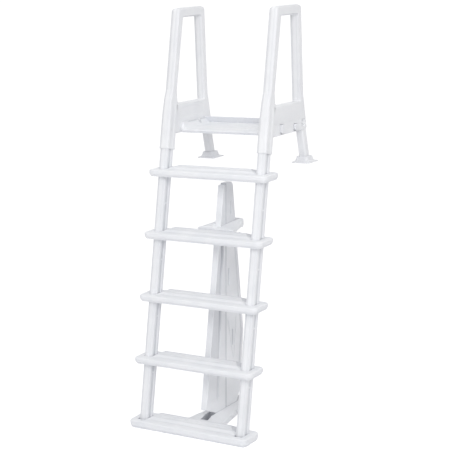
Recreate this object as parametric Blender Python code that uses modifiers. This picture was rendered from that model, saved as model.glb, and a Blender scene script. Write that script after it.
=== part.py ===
"""A moulded ladder that stands inside an above-ground pool and is screwed to the deck beside it.

Metres, +Z up. +X runs along the treads, +Y points from the water towards the deck.
The origin is on the pool floor, at the middle of the ladder's outer box.
"""

import math

import bmesh
import bpy
from mathutils import Matrix, Vector

# Fits
FIT = 0.0004  # each side, between pieces that are pushed together
SLIDE_FIT = 0.0005  # each side, between an upright and the sleeve that it slides in
SEAT = 0.0003  # between faces that rest on each other
BURY = 0.004  # overlap of shapes that are one moulding

# Whole ladder
LEAN = math.radians(12.7)
STEP_RISE = 0.300
TREAD_COUNT = 5
UPRIGHT_SPACING = 0.555

# Treads
TREAD_OVERHANG = 0.0575  # past the uprights' axis at each end
TREAD_DEPTH = 0.140
TREAD_NOSE = 0.074  # front edge ahead of the uprights' axis
TREAD_THICKNESS = 0.033
BOTTOM_TREAD_THICKNESS = 0.040
TREAD_END_RADIUS = 0.026
TREAD_EDGE = 0.009
TREAD_WALL = 0.005
DRAIN_RADIUS = 0.005
DRAIN_REACH = 0.105  # to the right of the tread's middle
GRIP_RISE = 0.010  # the raised standing surface between the uprights
GRIP_SLOPE = 0.012
GRIP_BACK_INSET = 0.006
GRIP_FRONT = 0.030  # its front edge ahead of the axis
GRIP_END_GAP = 0.004  # its front corners stop this far from the uprights
GRIP_BACK_TAPER = 0.064  # its back corners are this much further in
GROOVE_WIDTH = 0.005
GROOVE_DEPTH = 0.003
GROOVE_PITCH = 0.020
GROOVE_COUNT = 3

# Uprights
UPRIGHT_WIDTH = 0.044
UPRIGHT_DEPTH = 0.057
UPRIGHT_CORNER = 0.0045
UPRIGHT_WALL = 0.0040
UPRIGHT_FOOT = 0.016  # the middle of its lower end above the floor
FLUTE_WIDTH = 0.022
FLUTE_DEPTH = 0.004
PLUG_RADIUS = 0.0045
PLUG_STEM_RADIUS = 0.0025
PLUG_HEIGHT = 0.0025
PLUG_COUNT = 4
PLUG_FIRST = 0.256  # lowest plug above the floor
PLUG_PITCH = 0.272

# Handrails
RAIL_WIDTH = 0.042
RAIL_EDGE = 0.006
RAIL_CORNER = 0.020
REAR_POST_DEPTH = 0.041
RAIL_REACH_TOP = 0.1995  # rear post behind the front post at the top
RAIL_REACH_WEB = 0.2955  # and at the web's top edge
RAIL_HEIGHT = 0.464  # from the web's top edge to the top of the rail
WEB_RISE = 0.161  # the web's lower edge above the top tread
WEB_HEIGHT = 0.145
WEB_FLARE = 0.025  # the web's lower rear corner behind the rear post
WEB_CORNER = 0.013
WEB_BEND = 0.020
OPENING_CORNER = 0.008
SLEEVE_DROP = 0.070  # the sleeve's lower end below the web
SLEEVE_WALL = 0.004
SLEEVE_LENGTH = 0.236
SHOULDER = 0.026
BORE_CROWN = 0.004  # closed end above the longest insertion
LOCK_RISE = 0.033  # lock screw above the sleeve's lower end
BOSS_RADIUS = 0.011
BOSS_HEIGHT = 0.007

# Height adjustment: the handrails slide along the uprights
INSERTION = 0.150
CLOSE_TRAVEL = 0.075

# Deck legs and flanges
DECK_DROP = 0.007  # the deck below the top tread
LEG_LEAN = math.radians(10.7)
LEG_WIDTH = 0.036
LEG_CORNER = 0.005
LEG_SEAT = 0.014  # full section pushed up into the web
SPIGOT_RADIUS = 0.013
SPIGOT_LENGTH = 0.062
LEG_RECESS_RADIUS = 0.010
LEG_RECESS_DEPTH = 0.007  # for the head of the leg's bolt
FLANGE_REACH = 0.419  # flange centre behind the uprights' axis at deck height
FLANGE_HALF = 0.050
FLANGE_CORNER = 0.005
FLANGE_RIM = 0.003
FLANGE_CROWN = 0.008  # thickness where the collar rises
COLLAR_HALF = 0.037
COLLAR_TOP_HALF = 0.029
COLLAR_CORNER = 0.016
COLLAR_HEIGHT = 0.032
FLANGE_FLOOR = 0.009
DECK_HOLE_RADIUS = 0.003
DECK_HOLE_REACH = 0.0355  # to each side of the flange's middle

# Platform between the handrails
PLATFORM_FRONT = 0.078  # front edge behind the uprights' axis at its underside
PLATFORM_DEPTH = 0.268
PLATFORM_FRONT_THICKNESS = 0.017
PLATFORM_THICKNESS = 0.027
PLATFORM_LIP = 0.052  # top of the rear lip above the underside
PLATFORM_LIP_DEPTH = 0.034
PLATFORM_LIP_SLOPE = 0.020
PLATFORM_GROOVES = 4
END_LIP_WIDTH = 0.010
END_LIP_DEPTH = 0.160
END_SCREW_BEHIND = 0.157  # behind the front edge, between the tongues
END_SCREW_DROP = 0.0065  # below the lip's top
TONGUES = ((0.062, 0.032, 0.044), (0.176, 0.032, 0.032))  # behind the front edge, width, height
TONGUE_RISE = 0.007
TONGUE_OUT = 0.006  # past the web's outer face

# Barrier behind the treads
BOARD_THICKNESS = 0.033
BOARD_EDGE = 0.004
BOARD_GAP = 0.019  # front edge behind the treads
FRONT_BOARD_DROP = 0.082  # its top below the top tread
REAR_BOARD_DROP = 0.075
BOARD_FOOT = 0.012
BOW_HEIGHT = 0.085
TENON_REACH = 0.115  # front of the tenon behind the bottom tread
TENON_WIDTH = 0.089  # from there to the seam
FRONT_BOARD_TOP_WIDTH = 0.021
REAR_BOARD_TOP_WIDTH = 0.064
REAR_BULGE = 0.020  # the rear edge's upper end behind the top's corner
REAR_TENON_INSET = 0.067  # and the tenon's rear edge ahead of it
REAR_KNEE_INSET = 0.028
REAR_KNEE_BULGE = 0.027  # the rear edge's lower end behind its upper one
REAR_KNEE_LOW = 0.100
REAR_KNEE_HIGH = 0.400
REAR_STRAIGHT = 0.435  # height of the straight rear edge
REAR_TOP_RADIUS = 0.019

# Brackets that carry the barrier
BRACKET_WALL = 0.007
BRACKET_FRONT_WALL = 0.009
BRACKET_SCREW_REACH = 0.045  # screws to either side of the boards
BRACKET_HALF_FRONT = 0.104
BRACKET_HALF_REAR = 0.032
BRACKET_RIDGE_HALF = 0.028
BRACKET_BROW = 0.66  # share of its height where the sides start to slope in
UPPER_BRACKET_TREAD = 3
UPPER_BRACKET_HEIGHT = 0.062
UPPER_BRACKET_PAST = 0.043  # behind the boards
UPPER_BOLT_RISE = 0.010  # above the bracket's underside
FOOT_BOLT_RISE = 0.022
FOOT_HEIGHT = 0.045
FOOT_PAST = 0.025
FOOT_WINDOW_REACH = 0.031  # front of the window behind the bottom tread

# Fasteners
SCREW_RADIUS = 0.0025
SCREW_HEAD_RADIUS = 0.0050
SCREW_HEAD_HEIGHT = 0.0032
SCREW_BITE = 0.0030  # past the wall that it holds
BOLT_RADIUS = 0.0040
BOLT_HEAD_RADIUS = 0.0070
BOLT_HEAD_HEIGHT = 0.0045
NUT_HEIGHT = 0.0055
ROUND_STEPS = 12

# Worked out from the sizes above
SLOPE = math.tan(LEAN)
TREAD_LENGTH = UPRIGHT_SPACING + 2 * TREAD_OVERHANG
TREAD_TAIL = TREAD_DEPTH - TREAD_NOSE  # back edge behind the uprights' axis
TOP_TREAD = BOTTOM_TREAD_THICKNESS + (TREAD_COUNT - 1) * STEP_RISE
DECK_HEIGHT = TOP_TREAD - DECK_DROP
WEB_BOTTOM = TOP_TREAD + WEB_RISE
WEB_TOP = WEB_BOTTOM + WEB_HEIGHT
RAIL_TOP = WEB_TOP + RAIL_HEIGHT
SLEEVE_BOTTOM = WEB_BOTTOM - SLEEVE_DROP
FRONT_BOARD_TOP = TOP_TREAD - FRONT_BOARD_DROP
REAR_BOARD_TOP = TOP_TREAD - REAR_BOARD_DROP
OUTER_FRONT = BOTTOM_TREAD_THICKNESS * SLOPE - TREAD_NOSE
OUTER_REAR = DECK_HEIGHT * SLOPE + FLANGE_REACH + FLANGE_HALF
FLOOR_Y = -(OUTER_FRONT + OUTER_REAR) / 2  # where the uprights' axis meets the floor
SIDES = {"left": -1, "right": 1}


def axis_y(height):
    """The uprights' axis at a height above the floor."""
    return FLOOR_Y + height * SLOPE


def tread_top(index):
    return BOTTOM_TREAD_THICKNESS + index * STEP_RISE


def tread_thickness(index):
    return TREAD_THICKNESS if index else BOTTOM_TREAD_THICKNESS


def tread_back(index):
    return axis_y(tread_top(index)) + TREAD_TAIL


def collection(name):
    group = bpy.data.collections.new(name)
    bpy.context.scene.collection.children.link(group)
    return group


def finish(name, colour, roughness, metallic=0.0):
    """A material with one colour, given as linear red, green and blue."""
    look = bpy.data.materials.new(name)
    look.use_nodes = True
    shader = look.node_tree.nodes["Principled BSDF"]
    shader.inputs["Base Color"].default_value = (*colour, 1.0)
    shader.inputs["Roughness"].default_value = roughness
    shader.inputs["Metallic"].default_value = metallic
    look.diffuse_color = (*colour, 1.0)
    return look


def add_object(name, mesh, place, look=None):
    """A part, or a hidden shape that cuts or joins one when it has no look."""
    thing = bpy.data.objects.new(name, mesh)
    thing.matrix_world = place
    if look is None:
        thing.hide_render = True
        thing.display_type = "WIRE"
        CUTTERS.objects.link(thing)
        return thing
    mesh.materials.append(look)
    LADDER.objects.link(thing)
    return thing


def rounded(corners, steps=4):
    """An outline from (u, v, radius) corners, each turned as an arc."""
    points = []
    count = len(corners)
    for index, (u, v, radius) in enumerate(corners):
        corner = Vector((u, v))
        if radius == 0.0:
            points.append(corner)
            continue
        before = (Vector(corners[index - 1][:2]) - corner).normalized()
        after = (Vector(corners[(index + 1) % count][:2]) - corner).normalized()
        half = before.angle(after) / 2
        run = radius / math.tan(half)
        centre = corner + (before + after).normalized() * (radius / math.sin(half))
        start = corner + before * run - centre
        sweep = math.pi - 2 * half
        turn = math.copysign(sweep, before.x * after.y - before.y * after.x) * -1
        for step in range(steps + 1):
            points.append(centre + Matrix.Rotation(turn * step / steps, 2) @ start)
    return points


def chamfered_box(width, depth, corner):
    """A rectangle about its middle with its corners cut off."""
    u, v = width / 2, depth / 2
    return [
        Vector(p)
        for p in (
            (-u + corner, -v), (u - corner, -v), (u, -v + corner), (u, v - corner),
            (u - corner, v), (-u + corner, v), (-u, v - corner), (-u, -v + corner),
        )
    ]


def ring(radius, count):
    """Points evenly round a circle."""
    return [Vector((radius, 0)) @ Matrix.Rotation(math.tau * i / count, 2) for i in range(count)]


def outline_mesh(name, loops, thickness):
    """A flat outline, with any holes, as a closed plate about its own plane."""
    curve = bpy.data.curves.new(name, "CURVE")
    curve.dimensions = "2D"
    curve.fill_mode = "BOTH"
    curve.extrude = thickness / 2
    for loop in loops:
        spline = curve.splines.new("POLY")
        spline.points.add(len(loop) - 1)
        for point, place in zip(spline.points, loop):
            point.co = (place[0], place[1], 0.0, 1.0)
        spline.use_cyclic_u = True
    guide = bpy.data.objects.new(name, curve)
    bpy.context.scene.collection.objects.link(guide)
    graph = bpy.context.evaluated_depsgraph_get()
    mesh = bpy.data.meshes.new_from_object(guide.evaluated_get(graph))
    bpy.data.objects.remove(guide)
    shape = bmesh.new()
    shape.from_mesh(mesh)
    bmesh.ops.remove_doubles(shape, verts=shape.verts, dist=1e-6)
    bmesh.ops.recalc_face_normals(shape, faces=shape.faces)
    shape.to_mesh(mesh)
    shape.free()
    return mesh


def plate(name, loops, thickness, place, look=None):
    return add_object(name, outline_mesh(name, loops, thickness), place, look)


def hull(name, points, place, look=None):
    """The tightest convex solid round a set of points."""
    shape = bmesh.new()
    corners = [shape.verts.new(point) for point in points]
    made = bmesh.ops.convex_hull(shape, input=corners)
    inside = [item for item in made["geom_interior"] if isinstance(item, bmesh.types.BMVert)]
    bmesh.ops.delete(shape, geom=inside, context="VERTS")
    bmesh.ops.recalc_face_normals(shape, faces=shape.faces)
    mesh = bpy.data.meshes.new(name)
    shape.to_mesh(mesh)
    shape.free()
    return add_object(name, mesh, place, look)


def box(name, low, high, place=Matrix()):
    """A cutter between two corners."""
    points = [(x, y, z) for x in (low[0], high[0]) for y in (low[1], high[1]) for z in (low[2], high[2])]
    return hull(name, points, place)


def rod(name, radius, length, place):
    """A round cutter from its placed origin along its own +Z."""
    shape = bmesh.new()
    bmesh.ops.create_cone(
        shape, cap_ends=True, segments=ROUND_STEPS, radius1=radius, radius2=radius, depth=length,
        matrix=Matrix.Translation((0, 0, length / 2)),
    )
    mesh = bpy.data.meshes.new(name)
    shape.to_mesh(mesh)
    shape.free()
    return add_object(name, mesh, place)


def turned(name, profile, place, look=None, steps=ROUND_STEPS):
    """A turned solid from (radius, height) points that run down its outer side."""
    mesh = bpy.data.meshes.new(name)
    mesh.from_pydata([(r, 0, z) for r, z in profile], [(i, i + 1) for i in range(len(profile) - 1)], [])
    thing = add_object(name, mesh, place, look)
    turn = thing.modifiers.new("turn", "SCREW")
    turn.steps = turn.render_steps = steps
    turn.use_merge_vertices = True
    turn.merge_threshold = 1e-6
    turn.use_smooth_shade = False
    return thing


def soften(thing, width, segments=2, angle=math.radians(50)):
    """Rounds the edges that turn more sharply than the angle."""
    edge = thing.modifiers.new("edge", "BEVEL")
    edge.width = width
    edge.segments = segments
    edge.limit_method = "ANGLE"
    edge.angle_limit = angle


def cut(thing, *cutters):
    for cutter in cutters:
        thing.modifiers.new("cut " + cutter.name, "BOOLEAN").object = cutter


def join(thing, *others):
    for other in others:
        union = thing.modifiers.new("join " + other.name, "BOOLEAN")
        union.operation = "UNION"
        union.object = other


def facing(point, direction):
    """A place whose +Z points along a direction."""
    turn = Vector((0, 0, 1)).rotation_difference(Vector(direction))
    return Matrix.Translation(point) @ turn.to_matrix().to_4x4()


def leaning(x, height):
    """A place on an upright's axis, with +Z up along it and +Y across its back."""
    return Matrix.Translation((x, axis_y(height), height)) @ Matrix.Rotation(-LEAN, 4, "X")


# Maps an outline's (u, v) to (Y, Z), with its thickness along X.
SIDEWAYS = Matrix(((0, 0, 1, 0), (1, 0, 0, 0), (0, 1, 0, 0), (0, 0, 0, 1)))


def sideways(x):
    return Matrix.Translation((x, 0, 0)) @ SIDEWAYS


def headed(name, point, direction, length, head_radius, head_height, shank_radius):
    """A screw or bolt whose head stands on the point and faces the direction."""
    profile = (
        (0, head_height), (head_radius * 0.7, head_height), (head_radius, head_height * 0.5),
        (head_radius, 0), (shank_radius, 0), (shank_radius, -length), (0, -length),
    )
    return turned(name, profile, facing(point, direction), STEEL)


def screw(name, point, direction, length):
    return headed(name, point, direction, length, SCREW_HEAD_RADIUS, SCREW_HEAD_HEIGHT, SCREW_RADIUS)


def bolt(name, point, direction, length):
    return headed(name, point, direction, length, BOLT_HEAD_RADIUS, BOLT_HEAD_HEIGHT, BOLT_RADIUS)


def hole(name, point, direction, length, radius=SCREW_RADIUS):
    """The clearance hole that a screw at the same point runs in."""
    back = Vector(direction).normalized()
    start = Vector(point) + back * BURY
    return rod(name, radius + FIT, length + BURY + FIT, facing(start, -back))


def upright_section(grow=0.0):
    return chamfered_box(UPRIGHT_WIDTH + 2 * grow, UPRIGHT_DEPTH + 2 * grow, UPRIGHT_CORNER)


def fluted_section():
    """The upright's section, with a flute in both sides and one in the back."""
    u, v, c = UPRIGHT_WIDTH / 2, UPRIGHT_DEPTH / 2, UPRIGHT_CORNER
    f, d = FLUTE_WIDTH / 2, FLUTE_DEPTH
    half = [
        (u - c, -v), (u, -v + c), (u, -f), (u - d, -f + d), (u - d, f - d), (u, f),
        (u, v - c), (u - c, v), (f, v), (f - d, v - d),
    ]
    return [Vector(p) for p in half] + [Vector((-x, y)) for x, y in reversed(half)]


def make_upright(side):
    x = SIDES[side] * UPRIGHT_SPACING / 2
    foot = UPRIGHT_FOOT / math.cos(LEAN)
    top = SLEEVE_BOTTOM / math.cos(LEAN) + INSERTION
    middle = (foot + top) / 2
    inside = 2 * (UPRIGHT_WALL + FLUTE_DEPTH)
    bore = chamfered_box(UPRIGHT_WIDTH - inside, UPRIGHT_DEPTH - inside, UPRIGHT_WALL)
    place = leaning(x, 0) @ Matrix.Translation((0, 0, middle))
    thing = plate(side + "_upright", [fluted_section(), bore], top - foot, place, UPRIGHT_WHITE)
    for index in range(TREAD_COUNT):
        cut(thing, hole(f"{side}_upright_screw_hole_{index + 1}", *tread_screw_line(x, index)))
    for index in range(PLUG_COUNT):
        spot = plug_place(x, index)
        stem = rod(
            f"{side}_plug_hole_{index + 1}", PLUG_STEM_RADIUS + FIT, UPRIGHT_WALL * 3,
            spot @ Matrix.Translation((0, 0, -UPRIGHT_WALL * 2)),
        )
        cut(thing, stem)
    return thing


def plug_place(x, index):
    """A plug's seat on the floor of the flute that faces +X."""
    height = PLUG_FIRST + index * PLUG_PITCH
    out = Matrix.Translation((UPRIGHT_WIDTH / 2 - FLUTE_DEPTH + SEAT, 0, 0))
    return leaning(x, height) @ out @ Matrix.Rotation(math.pi / 2, 4, "Y")


def make_plug(side, index):
    """A push-in plug that closes an upright's filling hole."""
    x = SIDES[side] * UPRIGHT_SPACING / 2
    profile = (
        (0, PLUG_HEIGHT), (PLUG_RADIUS * 0.7, PLUG_HEIGHT), (PLUG_RADIUS, PLUG_HEIGHT * 0.4),
        (PLUG_RADIUS, 0), (PLUG_STEM_RADIUS, 0), (PLUG_STEM_RADIUS, -UPRIGHT_WALL), (0, -UPRIGHT_WALL),
    )
    return turned(f"{side}_upright_plug_{index + 1}", profile, plug_place(x, index), UPRIGHT_WHITE, 10)


def tread_screw_line(x, index):
    """Point under the head, direction of the head and length of a tread's screw into an upright."""
    level = tread_top(index) - tread_thickness(index) / 2
    back = tread_back(index)
    wall = axis_y(level) + UPRIGHT_DEPTH / 2 / math.cos(LEAN) - FLUTE_DEPTH
    length = back + SEAT - wall + SCREW_BITE
    return Vector((x, back + SEAT, level)), Vector((0, 1, 0)), length


def grip_rings():
    """The raised standing surface: its lower and upper outlines on the tread's own frame."""
    front = -GRIP_FRONT
    back = TREAD_TAIL - GRIP_BACK_INSET
    wide = (UPRIGHT_SPACING - UPRIGHT_WIDTH) / 2 - GRIP_END_GAP
    narrow = wide - GRIP_BACK_TAPER
    low = [(wide, front), (wide, front + GRIP_BACK_TAPER / 2), (narrow, back), (0, back), (0, front)]
    s = GRIP_SLOPE
    high = [
        (wide - s, front + s), (wide - s, front + GRIP_BACK_TAPER / 2), (narrow - s / 2, back - s / 3),
        (0, back - s / 3), (0, front + s),
    ]
    both = [(u, v, -BURY) for u, v in low] + [(u, v, GRIP_RISE) for u, v in high]
    return both + [(-u, v, w) for u, v, w in both]


def make_tread(index):
    name = f"tread_{index + 1}"
    top, thick = tread_top(index), tread_thickness(index)
    frame = Matrix.Translation((0, axis_y(top), top))
    half, front, back = TREAD_LENGTH / 2, -TREAD_NOSE, TREAD_TAIL
    r = TREAD_END_RADIUS
    outline = rounded([(-half, front, r), (half, front, r), (half, back, r), (-half, back, r)], 5)
    thing = plate(name, [outline], thick, frame @ Matrix.Translation((0, 0, -thick / 2)), TREAD_WHITE)
    soften(thing, TREAD_EDGE)
    join(thing, hull(name + "_grip", grip_rings(), frame))
    reach = (UPRIGHT_SPACING - UPRIGHT_WIDTH) / 2 - GRIP_END_GAP - GRIP_BACK_TAPER - GRIP_SLOPE
    for row in range(GROOVE_COUNT):
        v = back - GRIP_BACK_INSET - GROOVE_PITCH * (row + 0.8)
        low = (-reach, v - GROOVE_WIDTH / 2, GRIP_RISE - GROOVE_DEPTH)
        high = (reach, v + GROOVE_WIDTH / 2, GRIP_RISE + BURY)
        cut(thing, box(f"{name}_groove_{row + 1}", low, high, frame))
    hollow(thing, name, frame, thick, reach)
    for side, sign in SIDES.items():
        x = sign * UPRIGHT_SPACING / 2
        low = (top - thick) / math.cos(LEAN) - UPRIGHT_DEPTH / 2
        if index == 0:
            low = UPRIGHT_FOOT / math.cos(LEAN) - SEAT
        high = top / math.cos(LEAN) + UPRIGHT_DEPTH / 2
        place = leaning(x, 0) @ Matrix.Translation((0, 0, (low + high) / 2))
        cut(thing, plate(f"{name}_{side}_socket", [upright_section(FIT)], high - low, place))
        cut(thing, hole(f"{name}_{side}_screw_hole", *tread_screw_line(x, index)))
        for bracket, sizes in BRACKETS.items():
            if sizes["tread"] == index:
                cut(thing, hole(f"{name}_{side}_bracket_hole", *bracket_screw_line(bracket, sign)))
    return thing


def hollow(thing, name, frame, thick, reach):
    """Empties a blown tread between its walls, with one drain hole in the underside."""
    w = TREAD_WALL
    low = (-reach, -TREAD_NOSE + w + TREAD_EDGE / 2, -thick + w)
    high = (reach, TREAD_TAIL - w - TREAD_EDGE / 2, -w)
    drain = rod(
        name + "_drain", DRAIN_RADIUS, w * 3,
        frame @ Matrix.Translation((DRAIN_REACH, 0, -thick - w)),
    )
    cut(thing, box(name + "_cavity", low, high, frame), drain)


def make_tread_screw(side, index):
    x = SIDES[side] * UPRIGHT_SPACING / 2
    return screw(f"tread_{index + 1}_{side}_screw", *tread_screw_line(x, index))


def rear_post_y(height):
    """Half a rail width behind the rear post's inner face."""
    at_top = axis_y(RAIL_TOP - RAIL_WIDTH / 2) + RAIL_REACH_TOP
    at_web = axis_y(WEB_TOP) + RAIL_REACH_WEB
    share = (height - WEB_TOP) / (RAIL_TOP - RAIL_WIDTH / 2 - WEB_TOP)
    return at_web + (at_top - at_web) * share


def rail_outline():
    """The side frame seen from the side: its outer edge and its hand opening."""
    half = RAIL_WIDTH / 2
    slant = half / math.cos(LEAN)
    hidden = SLEEVE_BOTTOM + WEB_CORNER
    rear = REAR_POST_DEPTH - half
    flare = rear_post_y(WEB_TOP) + rear + WEB_FLARE
    outer = [
        (axis_y(hidden) - slant, hidden, 0),
        (axis_y(hidden) + slant, hidden, 0),
        (axis_y(WEB_BOTTOM) + slant, WEB_BOTTOM, 0),
        (flare, WEB_BOTTOM, WEB_CORNER),
        (rear_post_y(WEB_TOP) + rear, WEB_TOP + half, WEB_BEND),
        (rear_post_y(RAIL_TOP) + rear, RAIL_TOP, RAIL_CORNER),
        (axis_y(RAIL_TOP) - slant, RAIL_TOP, RAIL_CORNER),
    ]
    inner_top = RAIL_TOP - RAIL_WIDTH
    r = OPENING_CORNER
    opening = [
        (axis_y(WEB_TOP) + slant, WEB_TOP, r / 2),
        (rear_post_y(WEB_TOP) - half, WEB_TOP, r / 2),
        (rear_post_y(inner_top) - half, inner_top, r),
        (axis_y(inner_top) + slant, inner_top, r),
    ]
    return [rounded(outer, 5), rounded(opening, 4)]


def sleeve_points():
    """The socket below the front post, drawn in to the post at its shoulder."""
    grow = SLIDE_FIT + SLEEVE_WALL
    wide = chamfered_box(UPRIGHT_WIDTH + 2 * grow, UPRIGHT_DEPTH + 2 * grow, UPRIGHT_CORNER + SLEEVE_WALL)
    post = chamfered_box(RAIL_WIDTH - BURY, RAIL_WIDTH - BURY, RAIL_EDGE)
    points = [(u, v, 0) for u, v in wide] + [(u, v, SLEEVE_LENGTH) for u, v in wide]
    return points + [(u, v, SLEEVE_LENGTH + SHOULDER) for u, v in post]


def lock_line(x):
    """Point on the boss, outward direction and length of a sleeve's lock screw."""
    place = leaning(x, SLEEVE_BOTTOM)
    back = UPRIGHT_DEPTH / 2 + SLIDE_FIT + SLEEVE_WALL + BOSS_HEIGHT
    point = place @ Vector((0, back + SEAT, LOCK_RISE))
    direction = place.to_3x3() @ Vector((0, 1, 0))
    length = back - (UPRIGHT_DEPTH / 2 - FLUTE_DEPTH)
    return point, direction, length


def leg_frame(x):
    """A deck leg's axis, from the middle of its flange's underside upwards."""
    y = axis_y(DECK_HEIGHT) + FLANGE_REACH
    return Matrix.Translation((x, y, DECK_HEIGHT)) @ Matrix.Rotation(LEG_LEAN, 4, "X")


def leg_top():
    """Upper end of the leg's full section, along its axis."""
    return (WEB_BOTTOM - DECK_HEIGHT) / math.cos(LEG_LEAN) + LEG_SEAT


def leg_bolt_line(x, sign):
    """Point in the web's outer recess, outward direction and length of a leg's cross bolt."""
    middle = leg_frame(x) @ Vector((0, 0, leg_top() + SPIGOT_LENGTH / 3))
    reach = RAIL_WIDTH / 2 - LEG_RECESS_DEPTH + SEAT
    return middle + Vector((sign * reach, 0, 0)), Vector((sign, 0, 0)), reach + SPIGOT_RADIUS


def tongue_box(tongue, grow, inner, outer):
    """Corners of one platform tongue, on the right-hand side."""
    behind, width, height = tongue
    y = axis_y(WEB_BOTTOM) + PLATFORM_FRONT + behind
    z = WEB_BOTTOM + TONGUE_RISE
    return (inner, y - grow, z - grow), (outer, y + width + grow, z + height + grow)


def mirrored(low, high, sign):
    if sign > 0:
        return low, high
    return (-high[0], *low[1:]), (-low[0], *high[1:])


def make_handrail(side):
    sign = SIDES[side]
    x = sign * UPRIGHT_SPACING / 2
    name = side + "_handrail"
    thing = plate(name, rail_outline(), RAIL_WIDTH, sideways(x), RAIL_WHITE)
    soften(thing, RAIL_EDGE)
    foot = leaning(x, SLEEVE_BOTTOM)
    sleeve = hull(name + "_sleeve", sleeve_points(), foot)
    point, direction, length = lock_line(x)
    back = Vector(direction)
    boss = rod(name + "_boss", BOSS_RADIUS, BOSS_HEIGHT + BURY / 2, facing(point - back * SEAT, -back))
    join(thing, sleeve, boss)
    depth = INSERTION + CLOSE_TRAVEL + BORE_CROWN
    bore = plate(
        name + "_bore", [upright_section(SLIDE_FIT)], depth + BURY,
        foot @ Matrix.Translation((0, 0, (depth - BURY) / 2)),
    )
    cut(thing, bore, hole(name + "_lock_hole", point, direction, length, BOLT_RADIUS))
    legs = leg_frame(x)
    top = leg_top()
    socket = plate(
        name + "_leg_socket", [chamfered_box(LEG_WIDTH + 2 * FIT, LEG_WIDTH + 2 * FIT, LEG_CORNER)],
        LEG_SEAT * 3, legs @ Matrix.Translation((0, 0, top + SEAT - LEG_SEAT * 1.5)),
    )
    spigot = rod(
        name + "_spigot_bore", SPIGOT_RADIUS + FIT, SPIGOT_LENGTH + BURY + SEAT,
        legs @ Matrix.Translation((0, 0, top - BURY)),
    )
    cut(thing, socket, spigot, hole(name + "_leg_bolt_hole", *leg_bolt_line(x, sign), BOLT_RADIUS))
    point, direction, length = leg_bolt_line(x, sign)
    recess = facing(point - direction * SEAT, direction)
    cut(thing, rod(name + "_leg_bolt_recess", LEG_RECESS_RADIUS, LEG_RECESS_DEPTH + BURY, recess))
    web_in = UPRIGHT_SPACING / 2 - RAIL_WIDTH / 2 - BURY
    web_out = UPRIGHT_SPACING / 2 + RAIL_WIDTH / 2 + BURY
    for index, tongue in enumerate(TONGUES):
        low, high = mirrored(*tongue_box(tongue, FIT, web_in, web_out), sign)
        cut(thing, box(f"{name}_tongue_slot_{index + 1}", low, high))
    cut(thing, hole(name + "_platform_screw_hole", *platform_screw_line(sign)))
    return thing


def make_lock_screw(side):
    return bolt(side + "_height_lock_screw", *lock_line(SIDES[side] * UPRIGHT_SPACING / 2))


def make_leg(side):
    x = SIDES[side] * UPRIGHT_SPACING / 2
    name = side + "_deck_leg"
    foot = FLANGE_FLOOR / math.cos(LEG_LEAN) + LEG_WIDTH / 2 * math.tan(LEG_LEAN)
    top = leg_top()
    place = leg_frame(x) @ Matrix.Translation((0, 0, (foot + top) / 2))
    thing = plate(name, [chamfered_box(LEG_WIDTH, LEG_WIDTH, LEG_CORNER)], top - foot, place, RAIL_WHITE)
    spigot = rod(
        name + "_spigot", SPIGOT_RADIUS, SPIGOT_LENGTH + BURY,
        leg_frame(x) @ Matrix.Translation((0, 0, top - BURY)),
    )
    join(thing, spigot)
    cut(thing, hole(name + "_bolt_hole", *leg_bolt_line(x, SIDES[side]), BOLT_RADIUS))
    cut(thing, hole(name + "_flange_screw_hole", *flange_screw_line(x)))
    return thing


def make_leg_bolt(side):
    sign = SIDES[side]
    return bolt(side + "_leg_bolt", *leg_bolt_line(sign * UPRIGHT_SPACING / 2, sign))


def flange_screw_line(x):
    """Point on the collar's back, outward direction and length of the screw into the leg."""
    height = (COLLAR_HEIGHT + FLANGE_CROWN) / 2
    slope = (COLLAR_HALF - COLLAR_TOP_HALF) / (COLLAR_HEIGHT - FLANGE_CROWN)
    reach = (COLLAR_HALF + COLLAR_TOP_HALF) / 2 + SCREW_HEAD_RADIUS * slope + SEAT
    point = Vector((x, axis_y(DECK_HEIGHT) + FLANGE_REACH + reach, DECK_HEIGHT + height))
    return point, Vector((0, 1, 0)), reach - LEG_WIDTH / 2 + SCREW_BITE * 2


def square_ring(half, radius, height):
    """A rounded square at a height."""
    corners = [(-half, -half, radius), (half, -half, radius), (half, half, radius), (-half, half, radius)]
    return [(u, v, height) for u, v in rounded(corners, 5)]


def make_flange(side):
    x = SIDES[side] * UPRIGHT_SPACING / 2
    name = side + "_deck_flange"
    place = Matrix.Translation((x, axis_y(DECK_HEIGHT) + FLANGE_REACH, DECK_HEIGHT))
    foot = square_ring(FLANGE_HALF, FLANGE_CORNER, 0) + square_ring(FLANGE_HALF, FLANGE_CORNER, FLANGE_RIM)
    thing = hull(name, foot + square_ring(COLLAR_HALF + BURY, COLLAR_CORNER, FLANGE_CROWN), place, FLANGE_WHITE)
    collar = square_ring(COLLAR_HALF, COLLAR_CORNER, FLANGE_CROWN - BURY)
    collar += square_ring(COLLAR_HALF, COLLAR_CORNER, FLANGE_CROWN)
    collar += square_ring(COLLAR_TOP_HALF, COLLAR_CORNER, COLLAR_HEIGHT)
    join(thing, hull(name + "_collar", collar, place))
    low = FLANGE_FLOOR / math.cos(LEG_LEAN) + LEG_WIDTH / 2 * math.tan(LEG_LEAN) - SEAT
    deep = COLLAR_HEIGHT * 2
    socket = plate(
        name + "_socket", [chamfered_box(LEG_WIDTH + 2 * FIT, LEG_WIDTH + 2 * FIT, LEG_CORNER)], deep,
        leg_frame(x) @ Matrix.Translation((0, 0, low + deep / 2)),
    )
    cut(thing, socket)
    for u in (-DECK_HOLE_REACH, DECK_HOLE_REACH):
        for v in (-DECK_HOLE_REACH, DECK_HOLE_REACH):
            spot = place @ Matrix.Translation((u, v, -BURY))
            cut(thing, rod(f"{name}_deck_hole", DECK_HOLE_RADIUS, COLLAR_HEIGHT, spot))
    cut(thing, hole(name + "_screw_hole", *flange_screw_line(x)))
    return thing


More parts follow.
